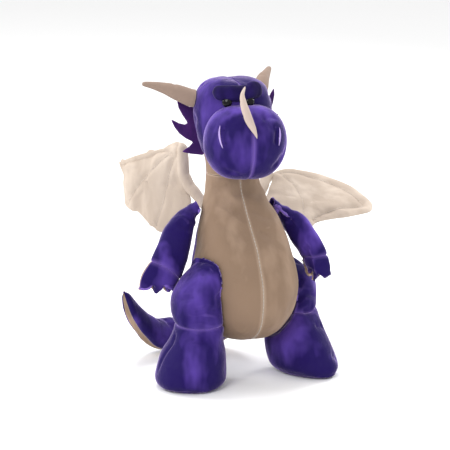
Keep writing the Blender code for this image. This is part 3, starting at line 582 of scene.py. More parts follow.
# %% Thread, eye plastic and filling
def thread(name, colour):
    material, tree, shader = nodes_of(name)
    twist = tree.nodes.new("ShaderNodeTexWave")
    twist.inputs["Scale"].default_value = 900
    twist.bands_direction = "DIAGONAL"
    # The twist's grooves are darker: painted shade.
    tint = mixed(tree, twist.outputs["Fac"], tuple(0.6 * c for c in colour), colour)
    tree.links.new(tint, shader.inputs["Base Color"])
    bump = tree.nodes.new("ShaderNodeBump")
    bump.inputs["Distance"].default_value = 0.0002
    tree.links.new(twist.outputs["Fac"], bump.inputs["Height"])
    tree.links.new(bump.outputs["Normal"], shader.inputs["Normal"])
    shader.inputs["Roughness"].default_value = 0.6
    return material


def eye_plastic():
    material, tree, shader = nodes_of("eye_button")
    tree.links.new(mixed(tree, noise_of(tree, 400, 3), (0.0015, 0.0015, 0.002), (0.004, 0.004, 0.005)), shader.inputs["Base Color"])
    rub = ramp(tree, noise_of(tree, 900, 4, (1, 0.1, 1)), 0.45, 0.8, 0.3)
    tree.links.new(rub, shader.inputs["Roughness"])
    shader.inputs["Specular IOR Level"].default_value = 0.22
    return material


def filling(name, colour, scale=120):
    material, tree, shader = nodes_of(name)
    fluff = noise_of(tree, scale, 6, (1, 1, 1), 0.7)
    # The fluff's hollows are darker: painted shade.
    tree.links.new(mixed(tree, fluff, tuple(0.75 * c for c in colour), colour), shader.inputs["Base Color"])
    bump = tree.nodes.new("ShaderNodeBump")
    bump.inputs["Distance"].default_value = 0.002
    tree.links.new(fluff, bump.inputs["Height"])
    tree.links.new(bump.outputs["Normal"], shader.inputs["Normal"])
    shader.inputs["Roughness"].default_value = 0.95
    return material


PALE_THREAD = thread("pale_thread", (0.82, 0.74, 0.66))
DARK_THREAD = thread("purple_thread", (0.07, 0.03, 0.22))
EYE = eye_plastic()
FIBRE = filling("polyester_filling", (0.88, 0.88, 0.86))
print("threads", PALE_THREAD.name, DARK_THREAD.name)

# %% [markdown]
# ## The torso
# A pear of cloth: two beige belly panels that meet in a light seam down the front, two purple back panels, and
# a round seat patch under the pellet bag. Measured rings give the pear, and the seam columns and the seat ring
# are pinned while it fills, so the panels swell between them.

# %% Torso form
COLUMNS = 72
SIDE_SEAM = 21  # columns from the front to the side seam
SEAT, NECK, HALF_WIDTH, BELLY, BACK = 0.0475, 0.283, 0.0715, 0.102, 0.065
TORSO_PROFILE = [
    (0.000, 0.000, 0.118, -0.185), (0.024, 0.364, 0.412, 0.277), (0.087, 0.685, 0.706, 0.615),
    (0.180, 0.895, 0.912, 0.815), (0.308, 1.000, 1.000, 0.954), (0.435, 1.000, 0.961, 1.000),
    (0.584, 0.916, 0.784, 1.000), (0.720, 0.783, 0.539, 0.969), (0.839, 0.636, 0.304, 0.923),
    (0.915, 0.566, 0.186, 0.877), (1.000, 0.538, 0.137, 0.830),
]


def torso_rows():
    rows = []
    for height, width, belly, back in TORSO_PROFILE:
        front, rear = -belly * BELLY, (back * BACK if width else -belly * BELLY)
        lean = PATTERN_NECK[0] * max(0.0, (height - 0.6) / 0.4)
        rows.append((SEAT + height * (NECK - SEAT), lean, (front + rear) / 2, width * HALF_WIDTH, (rear - front) / 2, 0))
    return rows


def spot_on(rows, height, angle):
    """Point and outward direction on level rings, at a height and an angle from the front."""
    fine = smooth_rows(rows, 400)

    def place(z, turn):
        row = [np.interp(z, fine[:, 0], fine[:, column]) for column in range(5)]
        return np.array([row[1] + row[3] * math.sin(turn), row[2] - row[4] * math.cos(turn), z])

    normal = np.cross(place(height, angle + 0.03) - place(height, angle - 0.03), place(height + 0.002, angle) - place(height - 0.002, angle))
    return place(height, angle), normal / np.linalg.norm(normal)


def ring_at(grid, height):
    return int(np.argmin(np.abs(grid[:, :, 2].mean(1) - height)))


TORSO = torso_rows()
torso_form = stack(TORSO, 58, COLUMNS)
torso_form[:, :, 2] = np.minimum(torso_form[:, :, 2], NECK)
SEAT_RING = ring_at(torso_form, 0.0545)
torso_form = uneven(torso_form, 0.06, 0.0012, 3)
torso_form = finer(fill_out("torso", torso_form, (0, SIDE_SEAM, 36, -SIDE_SEAM), (SEAT_RING,), cap=0.0040))
COLUMNS, SIDE_SEAM, SEAT_RING = 2 * COLUMNS, 2 * SIDE_SEAM, 2 * SEAT_RING
TORSO_FOLDS = [
    ([(0.80, 0.02), (0.74, 0.08), (0.72, 0.13)], 5, 1.3), ([(0.86, 0.95), (0.82, 0.90), (0.80, 0.84)], 5, 1.2),
    ([(0.70, 0.03), (0.66, 0.07)], 4, 0.8), ([(0.60, 0.97), (0.54, 0.93), (0.50, 0.92)], 6, 1.0),
    ([(0.95, 0.06), (0.93, 0.12), (0.92, 0.19)], 4, 1.4), ([(0.95, 0.94), (0.93, 0.88), (0.92, 0.81)], 4, 1.4),
    ([(0.40, 0.10), (0.30, 0.14), (0.22, 0.15)], 8, 1.6), ([(0.44, 0.88), (0.34, 0.85), (0.24, 0.85)], 8, 1.8),
    ([(0.26, 0.02), (0.22, 0.08)], 6, 0.8), ([(0.30, 0.97), (0.27, 0.92)], 6, 0.8),
    ([(0.78, 0.30), (0.72, 0.36), (0.70, 0.42)], 6, 1.5), ([(0.78, 0.70), (0.72, 0.64), (0.68, 0.58)], 6, 1.5),
    ([(0.30, 0.40), (0.26, 0.46)], 6, 1.5), ([(0.32, 0.60), (0.26, 0.56)], 6, 1.5), ([(0.20, 0.44), (0.19, 0.55)], 5, 1.6),
]
torso_form = folds(torso_form, TORSO_FOLDS, 1.5, 1.6)
# Where the nap is creased, a thin ridge stands up; the shader's ridge lightening makes it pale, partly pile worn flat
# and partly painted highlight.
NAP_CREASES = [
    [(0.2411, -67), (0.2382, -41), (0.2265, -17), (0.2187, 0)], [(0.2187, 3), (0.2167, 14), (0.2155, 24), (0.2140, 36)],
    [(0.2128, -58), (0.2138, -40), (0.2079, -29), (0.1962, -24)], [(0.0851, -36), (0.0773, -19), (0.0909, -3)],
]
for crease in NAP_CREASES:
    torso_form = fold(torso_form, [spot_on(TORSO, z, math.radians(turn))[0] for z, turn in crease], 0.0030, -0.0012)
torso_form = fold(torso_form, torso_form[SEAT_RING + 2:-2, 0], 0.0026, -0.0011, False)
torso_form[-1, :, 2] = NECK
print("torso rings and columns", torso_form.shape[:2])

# %% Torso panels and the belly seam's thread
seams = (0, SIDE_SEAM, COLUMNS // 2, COLUMNS - SIDE_SEAM, COLUMNS)
last = len(torso_form) - 1
panels = {}
for name, first, end, fabric in (
    ("belly_panel_left", seams[0], seams[1], BEIGE), ("back_panel_left", seams[1], seams[2], PURPLE),
    ("back_panel_right", seams[2], seams[3], PURPLE), ("belly_panel_right", seams[3], seams[4], BEIGE),
):
    panels[name] = panel(name, torso_form, fabric, (SEAT_RING, last), (first, end), (True, False))
panels["seat_panel"] = panel("seat_panel", torso_form, PURPLE, (0, SEAT_RING), None, (False, True))
directions = outward(torso_form)
belly_seam = stitches(
    "belly_seam_thread", torso_form[SEAT_RING + 1:-2, 0] - 0.0009 * directions[SEAT_RING + 1:-2, 0],
    directions[SEAT_RING + 1:-2, 0], PALE_THREAD, 0.0042, 0.0008, 0.0005,
)
TORSO_STANDS = {
    "belly_panel_left": "belly_left", "belly_panel_right": "belly_right", "back_panel_left": "back_left",
    "back_panel_right": "back_right", "seat_panel": "seat_patch",
}
for name, node in TORSO_STANDS.items():
    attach(panels[name], "torso")
    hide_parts(node)
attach(belly_seam, "torso")
print("torso panels", sorted(panels))

# %% [markdown]
# ## The head
# The head is a soft block on the neck. A beige throat panel carries the belly's colour up under the chin. Its
# lowest rings are eased to the torso's top ring, so that the neck joint doesn't show as a step.

# %% Head form
HEAD_TALL, HEAD_RADIUS = 0.1336, 0.0535
HEAD_PROFILE = [
    (0.00, 0.70), (0.13, 0.72), (0.28, 0.82), (0.45, 0.95), (0.63, 1.00), (0.79, 0.965), (0.91, 0.81), (0.98, 0.50), (1.00, 0.00),
]
HEAD = [
    (PATTERN_NECK[2] + h * HEAD_TALL, PATTERN_NECK[0], PATTERN_NECK[1], r * HEAD_RADIUS, r * HEAD_RADIUS, 0) for h, r in HEAD_PROFILE
]

head_form = stack(HEAD, 60, COLUMNS // 2)
head_form = uneven(head_form, 0.05, 0.0010, 5)
head_form = finer(fill_out("head", head_form, (0, 36), (ring_at(head_form, 0.311),), cap=0.0030))
head_form[:, :, 2] = np.maximum(head_form[:, :, 2], PATTERN_NECK[2])
collar = torso_form[-1] - (0, 0, NECK - PATTERN_NECK[2] + 0.0002)
for ring, share in enumerate((1.0, 0.97, 0.92, 0.84, 0.74, 0.62, 0.5, 0.38, 0.26, 0.16, 0.08)):
    level = head_form[ring, :, 2].copy()
    head_form[ring] = head_form[ring] * (1 - share) + collar * share
    head_form[ring, :, 2] = level
HEAD_FOLDS = [
    ([(0.30, 0.70), (0.42, 0.72), (0.50, 0.76)], 5, 1.6), ([(0.20, 0.74), (0.26, 0.80)], 4, 1.2),
    ([(0.30, 0.30), (0.42, 0.28), (0.50, 0.24)], 5, 1.6), ([(0.62, 0.16), (0.66, 0.21), (0.66, 0.25)], 4, 1.4),
    ([(0.30, 0.45), (0.26, 0.55)], 6, 1.4), ([(0.12, 0.40), (0.10, 0.50), (0.12, 0.60)], 4, 1.5),
    ([(0.78, 0.70), (0.74, 0.74)], 4, 1.4), ([(0.84, 0.35), (0.80, 0.42)], 4, 1.0),
]
head_form = folds(head_form, HEAD_FOLDS, 1.5, 1.6)
THROAT_RING = ring_at(head_form, 0.311)
print("head rings", head_form.shape[0], "throat ends at ring", THROAT_RING)

# %% Head panels
crown = len(head_form) - 1
head_left = panel("head_panel_left", head_form, PURPLE, (THROAT_RING, crown), (0, 72), (True, False))
head_right = panel("head_panel_right", head_form, PURPLE, (THROAT_RING, crown), (72, 144), (True, False))
throat = panel("throat_panel", head_form, BEIGE, (0, THROAT_RING), (-SIDE_SEAM, SIDE_SEAM), (False, True))
nape = panel("nape_panel", head_form, PURPLE, (0, THROAT_RING), (SIDE_SEAM, COLUMNS - SIDE_SEAM), (False, True))
for piece, nodes in ((head_left, ("head_side_left",)), (head_right, ("head_side_right",)), (throat, ()), (nape, ())):
    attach(piece, "head")
    if nodes:
        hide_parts(*nodes)
print("head panels made")

# %% [markdown]
# ## The muzzle
# The muzzle is the toy's largest soft ball, a little squarer than an egg, in two halves with a seam down the
# front. Each nostril is a slit with a raised lip, painted pale as a highlight. The cheeks dimple where the filling is
# packed less tightly.

# %% Muzzle form
MUZZLE_CENTRE = np.array([PATTERN_NECK[0], PATTERN_NECK[1] - 0.055, 0.2835 + 0.0008 + 0.0512])


def muzzle_rows(half=(0.0575, 0.0500, 0.0512), square=0.76):
    rows = []
    for a in np.linspace(0, math.pi, 15):
        swell = math.sin(a) ** square if 0 < a < math.pi - 1e-9 else 0.0
        height = math.copysign(abs(math.cos(a)) ** 0.94, math.cos(a))
        rows.append((MUZZLE_CENTRE[2] - half[2] * height, MUZZLE_CENTRE[0], MUZZLE_CENTRE[1], swell * half[0], swell * half[1], -4))
    return rows


muzzle_form = stack(muzzle_rows(), 56, COLUMNS // 2)
muzzle_form = uneven(muzzle_form, 0.045, 0.0014, 8)
muzzle_form = finer(fill_out("muzzle", muzzle_form, (0, 36), (), cap=0.0030, grow=0.04))
MUZZLE_ROWS = [row[:5] + (0,) for row in muzzle_rows()]


def on_muzzle(places):
    """Points on the muzzle from heights and angles from the front."""
    return np.array([spot_on(MUZZLE_ROWS, z, math.radians(turn))[0] for z, turn in places])


NOSTRIL = {"right": [(0.3655, -59.5), (0.3560, -57), (0.3450, -53), (0.3345, -48)], "left": [(0.3600, 45), (0.3520, 43), (0.3440, 40), (0.3350, 37)]}
for places in NOSTRIL.values():
    inward = [(z, turn - math.copysign(5.5, turn)) for z, turn in places]
    muzzle_form = fold(muzzle_form, on_muzzle(inward), 0.0055, 0.0040)
    muzzle_form = fold(muzzle_form, on_muzzle(places), 0.0040, -0.0012)
for places, width, depth in (
    ([(0.3700, 14), (0.3735, 34), (0.3690, 52)], 0.0036, 0.0020), ([(0.3620, 22), (0.3600, 36)], 0.0060, 0.0012),
    ([(0.3240, 52), (0.3130, 44), (0.3020, 32)], 0.0055, 0.0022), ([(0.3330, 62), (0.3200, 58), (0.3080, 48)], 0.0050, 0.0020),
    ([(0.3100, -22), (0.3030, -12)], 0.0060, 0.0010), ([(0.3660, -66), (0.3560, -74)], 0.0060, 0.0014),
    ([(0.3060, -58), (0.3000, -40), (0.2965, -20)], 0.0050, 0.0012),
):
    muzzle_form = fold(muzzle_form, on_muzzle(places), width, depth)
muzzle_left = panel("muzzle_panel_left", muzzle_form, PURPLE, None, (0, 72), (False, False))
muzzle_right = panel("muzzle_panel_right", muzzle_form, PURPLE, None, (72, 144), (False, False))
for piece, side in ((muzzle_left, "left"), (muzzle_right, "right")):
    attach(piece, "head")
    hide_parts(f"muzzle_{side}")
print("muzzle", muzzle_form.shape[:2])

# %% [markdown]
# ## Horns
# The three horns are soft cones of cream velour. The two on the head have flopped, each its own way, so each gets
# its own direction. A limp cone creases where it bends, and its one lengthwise seam shows as a fine valley.

# %% Horns on the head
HORN_RADIUS, HORN_LENGTH = 0.0125, 0.077
HORN_POSE = {"left": (124, 58, 27), "right": (102, 20, 21)}  # where it is sewn, how far back it lies, how high it points
SIDES = {"left": 1, "right": -1}


def horn_form(name, side):
    sewn, back, rise = (math.radians(value) for value in HORN_POSE[name])
    spot, normal = spot_on(HEAD, PATTERN_NECK[2] + 0.104, side * sewn)
    rise += math.radians(4 if name == "right" else 0)
    way = np.array([side * math.cos(back) * math.cos(rise), math.sin(back) * math.cos(rise), math.sin(rise)])
    start = spot + 0.0005 * normal
    rows = [(*start, 0.0128, 0.0128), (*(start + 0.008 * normal), 0.0126, 0.0126)]
    for share, size in ((0.28, 0.88), (0.5, 0.67), (0.72, 0.47), (0.90, 0.33), (0.985, 0.19), (1.0, 0.0)):
        point = start + 0.008 * normal + share * (0.94 if side < 0 else 1) * HORN_LENGTH * way - np.array([0, 0, 0.012 * share**2])
        rows.append((*point, size * HORN_RADIUS, size * HORN_RADIUS))
    form = tube(rows, 46, 28, (0, 0, 1))
    form = uneven(form, 0.02, 0.0010, 12 + side)
    form = fold(form, form[2:-3, 9], 0.0011, 0.0009, False)
    creases = ([(0.30, 0.80), (0.34, 0.95), (0.33, 1.10)], 2.2, 1.3), ([(0.46, 0.85), (0.50, 1.0)], 2.0, 0.9)
    creases += (([(0.16, 0.05), (0.20, 0.2), (0.18, 0.33)], 2.4, 1.0), ([(0.62, 0.6), (0.66, 0.78)], 1.8, 0.7))
    return folds(form, creases)


for name, side in SIDES.items():
    horn = stuffed(f"head_horn_{name}", horn_form(name, side), HORN)
    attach(horn, "head")
    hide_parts(f"horn_{name}")
print("head horns made")

# %% Horn on the muzzle
NOSE_PATH = [
    (-0.0005, -0.0010, 0.0135, 0.0), (-0.0020, 0.0000, 0.0190, 0.34), (-0.0055, 0.0012, 0.0275, 0.72), (-0.0105, 0.0030, 0.0380, 0.98),
    (-0.0140, 0.0070, 0.0500, 0.98), (-0.0155, 0.0135, 0.0610, 0.80), (-0.0145, 0.0205, 0.0710, 0.52), (-0.0095, 0.0260, 0.0795, 0.18), (-0.0080, 0.0270, 0.0810, 0.0),
]
bridge = PATTERN_NECK[1] - 0.055 - 0.050
nose_rows = [
    (PATTERN_NECK[0] + x, bridge + y - 0.0029, MUZZLE_CENTRE[2] + z, 0.0058 * size, 0.0056 * size) for x, y, z, size in NOSE_PATH
]
nose_form = uneven(tube(nose_rows, 44, 24, (1, 0, 0)), 0.012, 0.0006, 4)
nose_form = fold(nose_form, nose_form[2:-3, 5], 0.0009, 0.0007, False)
nose_form = folds(nose_form, [([(0.45, 0.40), (0.50, 0.60)], 1.8, 0.8), ([(0.64, 0.35), (0.66, 0.55)], 1.6, 0.6)])
nose_horn = stuffed("muzzle_horn", nose_form, PALE_HORN)
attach(nose_horn, "head")
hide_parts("nose_horn")
print("muzzle horn made")

# %% [markdown]
# ## Nostrils
# A nostril is a slanting slit beside a raised lip. The slit is a deep fold already pressed into the muzzle
# form, and the lip is a thin stuffed cord that lies along its outer side and thins out to both ends. The cord's pale
# lavender colour is a painted highlight.

# %% Nostril lips
for name, places in NOSTRIL.items():
    fine = smooth_rows(places, 15)
    spots = [spot_on(MUZZLE_ROWS, z, math.radians(turn)) for z, turn in fine]
    bulge = np.array([np.linalg.norm(muzzle_form - spot, axis=2).min() for spot, _ in spots])
    near = [muzzle_form.reshape(-1, 3)[np.argmin(np.linalg.norm(muzzle_form.reshape(-1, 3) - spot, axis=1))] for spot, _ in spots]
    rise = np.array([(point - spot) @ normal for point, (spot, normal) in zip(near, spots)]).mean()
    rows = []
    for share, (spot, normal) in zip(np.linspace(0, 1, 15), spots):
        size = 0.0013 * math.sin(math.pi * min(max(share, 0.001), 0.999)) ** 0.6
        rows.append((*(spot + (rise + 0.0004) * normal), size, size * 0.85))
    rows[0], rows[-1] = (*rows[0][:3], 0, 0), (*rows[-1][:3], 0, 0)
    lip = stuffed(f"nostril_lip_{name}", tube(rows, 34, 12, (1, 0, 0)), NOSTRIL_HIGHLIGHT)
    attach(lip, "head")
print("nostril lips made")

# %% [markdown]
# ## Brow, eyes and felt
# A stuffed roll overhangs the eyes, higher at one end, and shades them. The eyes are black safety buttons: domes
# with a thin rim, turned like a lathe part round the direction they look in. Frills and crest are cut from felt
# sheet: flat pieces with a rounded cut edge and a slight wave, since felt never hangs quite flat.

# %% Brow roll and eyes
FACE_TURN = math.radians(-5)
brow_rows = []
for share in np.linspace(-1, 1, 13):
    angle = math.radians(-8) + 0.80 * share
    bump = math.exp(-((share - 0.60) / 0.22) ** 2)
    spot, normal = spot_on(HEAD, PATTERN_NECK[2] + 0.1172 + 0.0025 * bump, angle)
    size = max(0.0, 1 - abs(share) ** 5) ** 0.5
    brow_rows.append((*(spot + 0.0030 * normal + (0, -0.0012, 0)), (0.0112 + 0.0022 * bump) * size, 0.0072 * size))
brow_form = uneven(tube(brow_rows, 56, 28, (0, 0, 1)), 0.016, 0.0008, 21)
brow_form = folds(brow_form, [([(0.66, 0.95), (0.70, 1.1)], 2.2, 1.1)])
# The brow pad's darker velour is painted shade.
brow = stuffed("brow_pad", brow_form, SHADED_BROW)
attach(brow, "head")
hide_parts("brow_roll")
for name, side in SIDES.items():
    spot, normal = spot_on(HEAD, PATTERN_NECK[2] + 0.1065, math.radians(-9 + side * 17))
    dome = [(-0.0020, 0.0058), (0.0004, 0.0066), (0.0012, 0.0068), (0.0022, 0.0064), (0.0034, 0.0052), (0.0042, 0.0035), (0.0047, 0.0)]
    rows = [(*(spot + (0.0016 + out) * normal), size, size) for out, size in dome]
    eye = stuffed(f"eye_button_{name}", tube(rows, 22, 32, (0, 0, 1)), EYE, 0)
    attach(eye, "head")
    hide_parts(f"eye_{name}")
print("brow made, eyes finished")


# %% Felt pieces
def felt_piece(name, outline, origin, along, up, thick, material, wave=0.0012):
    """A flat cut shape, filled with triangles, waved a little, with its cut edge rounded. Also gives the cut's area."""
    along, up = np.array(along, float), np.array(up, float)
    normal = np.cross(along, up)
    corners = np.array(outline, float)
    border = []
    for k, corner in enumerate(corners):
        following = corners[(k + 1) % len(corners)]
        steps = max(2, round(float(np.linalg.norm(following - corner)) / 0.0018))
        border += [corner + share * (following - corner) for share in np.linspace(0, 1, steps, endpoint=False)]
    low, high = corners.min(axis=0), corners.max(axis=0)
    inner = [(a, b) for a in np.arange(low[0], high[0], 0.0022) for b in np.arange(low[1], high[1], 0.0022)]
    flat, _, faces, *_ = delaunay_2d_cdt([Vector(p) for p in border + inner], [], [list(range(len(border)))], 1, 1e-5)
    used = sorted({v for face in faces for v in face})
    number = {v: k for k, v in enumerate(used)}
    faces = np.array([[number[v] for v in face] for face in faces])
    flat = np.array([flat[v] for v in used])
    sides = [(a, b) for face in faces for a, b in zip(face, np.roll(face, -1))]
    rim = [side for side in sides if side[::-1] not in set(sides)]
    away = np.zeros_like(flat)
    for a, b in rim:
        run = flat[b] - flat[a]
        away[[a, b]] += np.array([run[1], -run[0]]) / max(1e-9, np.linalg.norm(run))
    away /= np.maximum(1e-9, np.linalg.norm(away, axis=1))[:, None]
    edge = sorted({v for side in rim for v in side})
    place = np.array(origin) + STEP + flat[:, :1] * along + flat[:, 1:] * up
    lift = [wave * noise.noise(Vector(p / 0.02)) + 0.3 * wave * noise.noise(Vector(p / 0.006)) for p in place]
    place = place + np.array(lift)[:, None] * normal
    bulge = place[edge] + 0.4 * thick * (away[edge, :1] * along + away[edge, 1:] * up)
    count, middle = len(place), {v: 2 * len(place) + k for k, v in enumerate(edge)}
    points = np.vstack([place + thick / 2 * normal, place - thick / 2 * normal, bulge])
    mesh_faces = [list(map(int, face)) for face in faces] + [[int(v) + count for v in face[::-1]] for face in faces]
    for a, b in rim:
        mesh_faces += [[int(b), int(a), middle[a], middle[b]], [middle[b], middle[a], int(a) + count, int(b) + count]]
    mesh = bpy.data.meshes.new(name)
    mesh.from_pydata(points.tolist(), [], mesh_faces)
    mesh.materials.append(material)
    mesh.shade_smooth()
    made = bpy.data.objects.new(name, mesh)
    bpy.context.scene.collection.objects.link(made)
    first, second, third = flat[faces[:, 0]], flat[faces[:, 1]], flat[faces[:, 2]]
    cross = (second - first)[:, 0] * (third - first)[:, 1] - (second - first)[:, 1] * (third - first)[:, 0]
    return made, float(np.abs(cross).sum() / 2)


def flat_size(outline):
    """The smallest rectangle that the cut fits in, in metres."""
    across, tall = np.array(outline).T
    turned = [(across * math.cos(t) + tall * math.sin(t), tall * math.cos(t) - across * math.sin(t)) for t in np.radians(np.arange(90))]
    return min(((float(np.ptp(a)), float(np.ptp(b))) for a, b in turned), key=lambda box: box[0] * box[1])


FRILL = [
    (0.0524, 0.0896), (0.0609, 0.0902), (0.0677, 0.0980), (0.0719, 0.1041), (0.0760, 0.1085), (0.0768, 0.1003), (0.0747, 0.0899),
    (0.0695, 0.0798), (0.0637, 0.0715), (0.0623, 0.0675), (0.0667, 0.0649), (0.0752, 0.0667), (0.0850, 0.0716), (0.0805, 0.0621),
    (0.0738, 0.0533), (0.0653, 0.0468), (0.0572, 0.0428), (0.0549, 0.0401), (0.0595, 0.0345), (0.0694, 0.0272), (0.0581, 0.0249),
    (0.0431, 0.0235),
]


def head_edge(low, high, count):
    """Distances and heights along the head's side, just clear of it."""
    found = []
    for height in np.linspace(low, high, count):
        spot, _ = spot_on(HEAD, PATTERN_NECK[2] + height, 0)
        found.append((PATTERN_NECK[1] - spot[1] - 0.0005, height))
    return found


def radial(angle):
    return np.array([math.sin(angle), -math.cos(angle), 0.0])


for name, side in SIDES.items():
    cut = FRILL + head_edge(0.0245, 0.0890, 9)
    frill, area = felt_piece(f"cheek_felt_{name}", cut, PATTERN_NECK, radial(side * math.radians(112)), (0, 0, 1), 0.0022, PLUM)
    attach(frill, "head")
    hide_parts(f"cheek_frill_{name}")
    print("cheek frill cut", flat_size(cut), area)
CREST = [(0.034, 0.1275), (0.052, 0.118), (0.058, 0.112), (0.0555, 0.1), (0.070, 0.094), (0.0605, 0.080), (0.074, 0.070),
         (0.060, 0.056), (0.068, 0.045), (0.052, 0.036)]
cut = CREST + head_edge(0.036, 0.118, 6)
crest, area = felt_piece("crest_felt", cut, PATTERN_NECK, radial(math.pi), (0, 0, 1), 0.0022, PLUM)
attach(crest, "head")
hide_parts("head_crest")
print("crest cut", flat_size(cut), area)
print("felt pieces made")

# %% [markdown]
# ## Arms
# Each arm is a stuffed tube that bends at the elbow, with a mitten paw whose palm is beige. Three blunt toes are
# pulled into the end of the paw, with valleys between them. Wrinkles gather inside the elbow and at the shoulder.

# %% Arm forms
ARM_PATH = {
    "left": [
        (0.000, 0.000, -0.009, 0.0140, 0.0130), (0.008, -0.001, -0.014, 0.0170, 0.0155), (0.019, -0.009, -0.026, 0.0200, 0.0200),
        (0.0330, -0.023, -0.042, 0.0200, 0.0250), (0.0410, -0.040, -0.062, 0.0170, 0.0270), (0.0450, -0.050, -0.080, 0.0140, 0.0290),
        (0.0460, -0.055, -0.095, 0.0130, 0.0285), (0.0460, -0.0565, -0.1035, 0.0095, 0.0235), (0.0460, -0.057, -0.108, 0, 0),
    ],
    "right": [
        (0.000, 0.000, -0.007, 0.0145, 0.0130), (0.009, -0.001, -0.011, 0.0175, 0.0155), (0.021, -0.006, -0.021, 0.0210, 0.0200),
        (0.0350, -0.016, -0.038, 0.0215, 0.0260), (0.0500, -0.029, -0.060, 0.0190, 0.0285), (0.0640, -0.040, -0.081, 0.0155, 0.0295),
        (0.0755, -0.041, -0.097, 0.0135, 0.0285), (0.0770, -0.0425, -0.1055, 0.0098, 0.0230), (0.078, -0.043, -0.110, 0, 0),
    ],
}
ARM_COLUMNS, WRIST = 40, 0.62
WRIST_RING = 2 * int(WRIST * 55)


def toes(grid, first, long=0.0085, deep=0.0034):
    """Three blunt toes along the wide axis of a paw, with valleys between them that fade out above."""
    rings, columns = grid.shape[:2]
    shares = np.linspace(0, 1, rings)
    fade = np.clip((shares - first) / (1 - first), 0, 1) ** 1.3
    middle = grid.mean(1)
    across = grid[int(rings * 0.8), columns // 4] - grid[int(rings * 0.8), 3 * columns // 4]
    half = np.linalg.norm(across) / 2
    across = across / np.linalg.norm(across)
    place = ((grid - middle[:, None]) @ across) / half
    down = middle[-1] - middle[int(rings * 0.85)]
    down = down / np.linalg.norm(down)
    valley = np.exp(-((np.abs(place) - 0.36) / 0.11) ** 2)
    lobe = np.cos(2.7 * math.pi * np.clip(place, -1, 1)) * 0.5
    return grid + (fade[:, None] * (long * (lobe - 0.9 * valley)))[..., None] * down - (
        fade[:, None] * deep * valley)[..., None] * outward(grid) * (shares < 0.97)[:, None, None]


def swung(points, centre, axis, degrees):
    angle = math.radians(degrees)
    offset = points - centre
    along = (offset @ axis)[..., None] * axis
    return centre + along + (offset - along) * math.cos(angle) + np.cross(axis, offset) * math.sin(angle)


def tree_of(grid):
    points = [Vector(p) for p in grid.reshape(-1, 3)]
    numbers = np.arange(len(points)).reshape(grid.shape[:2])
    return BVHTree.FromPolygons(points, [tuple(int(v) for v in face) for face in quads(numbers, True)])


def clear_of(grid, tree, middle, centre, axis, turns, gap=0.0022):
    """Points inside another form, at any of its turns, are moved out to its surface plus a gap."""
    moved = grid.copy()
    for turn in turns:
        placed = swung(moved, centre, axis, -turn)
        for i in range(placed.shape[0]):
            for j in range(placed.shape[1]):
                point = Vector(placed[i, j])
                near, normal, _, _ = tree.find_nearest(point)
                if normal.dot(near - Vector(middle)) < 0:
                    normal = -normal
                short = gap - (point - near).dot(normal)
                if short > 0:
                    placed[i, j] = point + short * normal
        moved = swung(placed, centre, axis, turn)
    return moved


torso_tree = tree_of(torso_form)
TORSO_MIDDLE = np.array([0, -0.01, 0.15])


def off_the_body(grid, start, normal, gap):
    """Each ring is narrowed on its inner side, so that none of it passes the plane at the shoulder."""
    rings = []
    for ring in grid:
        middle = ring.mean(axis=0)
        clear = max((middle - start) @ normal, gap + 0.0004)
        ring = ring + (clear - (middle - start) @ normal) * normal
        depth = (ring - start) @ normal - clear
        share = min(1.0, (clear - gap) / max(1e-6, -depth.min()))
        rings.append(ring + (np.where(depth < 0, depth * share, depth) - depth)[:, None] * normal)
    return np.array(rings)


def arm_form(name, side):
    spot, normal = spot_on(TORSO, 0.238, side * math.radians(97))
    start = spot + 0.0025 * normal
    rows = [(start[0] + side * x, start[1] + y, start[2] + z, a, b) for x, y, z, a, b in ARM_PATH[name]]
    form = tube(rows, 56, ARM_COLUMNS, (0, 1, 0))
    form = off_the_body(form, start, normal, 0.0006)
    form = uneven(form, 0.028, 0.0011, 30 + side)
    form = finer(fill_out(f"arm_{name}", form, (10, 30), (int(WRIST * 55),), cap=0.0025, grow=0.03))
    form = off_the_body(form, start, normal, 0.0004)
    form = toes(form, 0.76)
    creases = [
        ([(0.14, 0.85), (0.17, 0.0), (0.15, 0.15)], 3.2, 1.4), ([(0.25, 0.92), (0.27, 0.05), (0.25, 0.2)], 3.2, 1.0),
        ([(0.38, 0.9), (0.42, 1.0), (0.41, 1.12)], 3.4, 1.5), ([(0.48, 0.85), (0.50, 0.98)], 3.0, 1.2),
        ([(0.30, 0.42), (0.34, 0.55), (0.32, 0.68)], 3.4, 1.2), ([(0.52, 0.45), (0.55, 0.6)], 3.0, 1.0),
    ]
    form = folds(form, creases, 1.5, 1.9)
    return fold(form, form[WRIST_RING, list(range(0, 2 * ARM_COLUMNS, 6)) + [0]], 0.0032, 0.0010, False)


# %% Arm panels
for name, side in SIDES.items():
    form, palm = arm_form(name, side), 20 if name == "right" else 15
    sleeve = panel(f"sleeve_{name}", form, PURPLE, (0, WRIST_RING), None, (False, True))
    pad = panel(f"palm_pad_{name}", form, BEIGE, (WRIST_RING, 108), (-palm, palm), (True, False))
    back = panel(f"paw_top_{name}", form, PURPLE, (WRIST_RING, 108), (palm, 80 - palm), (True, False))
    for piece, node, slot in (
        (sleeve, f"arm_sleeve_{name}", "purple_velvet"), (pad, f"palm_{name}", "beige_velvet"),
        (back, f"paw_back_{name}", "purple_velvet"),
    ):
        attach(piece, f"arm_{name}")
        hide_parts(node)
print("arms made")

# %% [markdown]
# ## Legs
# The legs are boots: a wide flat foot, a narrow ankle with a seam round it, and a plump thigh pressed against the
# belly. Where the thigh would pass into the belly it is pushed out to just clear of it, at rest and at both ends
# of its swing, so the leg bears on the belly with a crease and still turns.

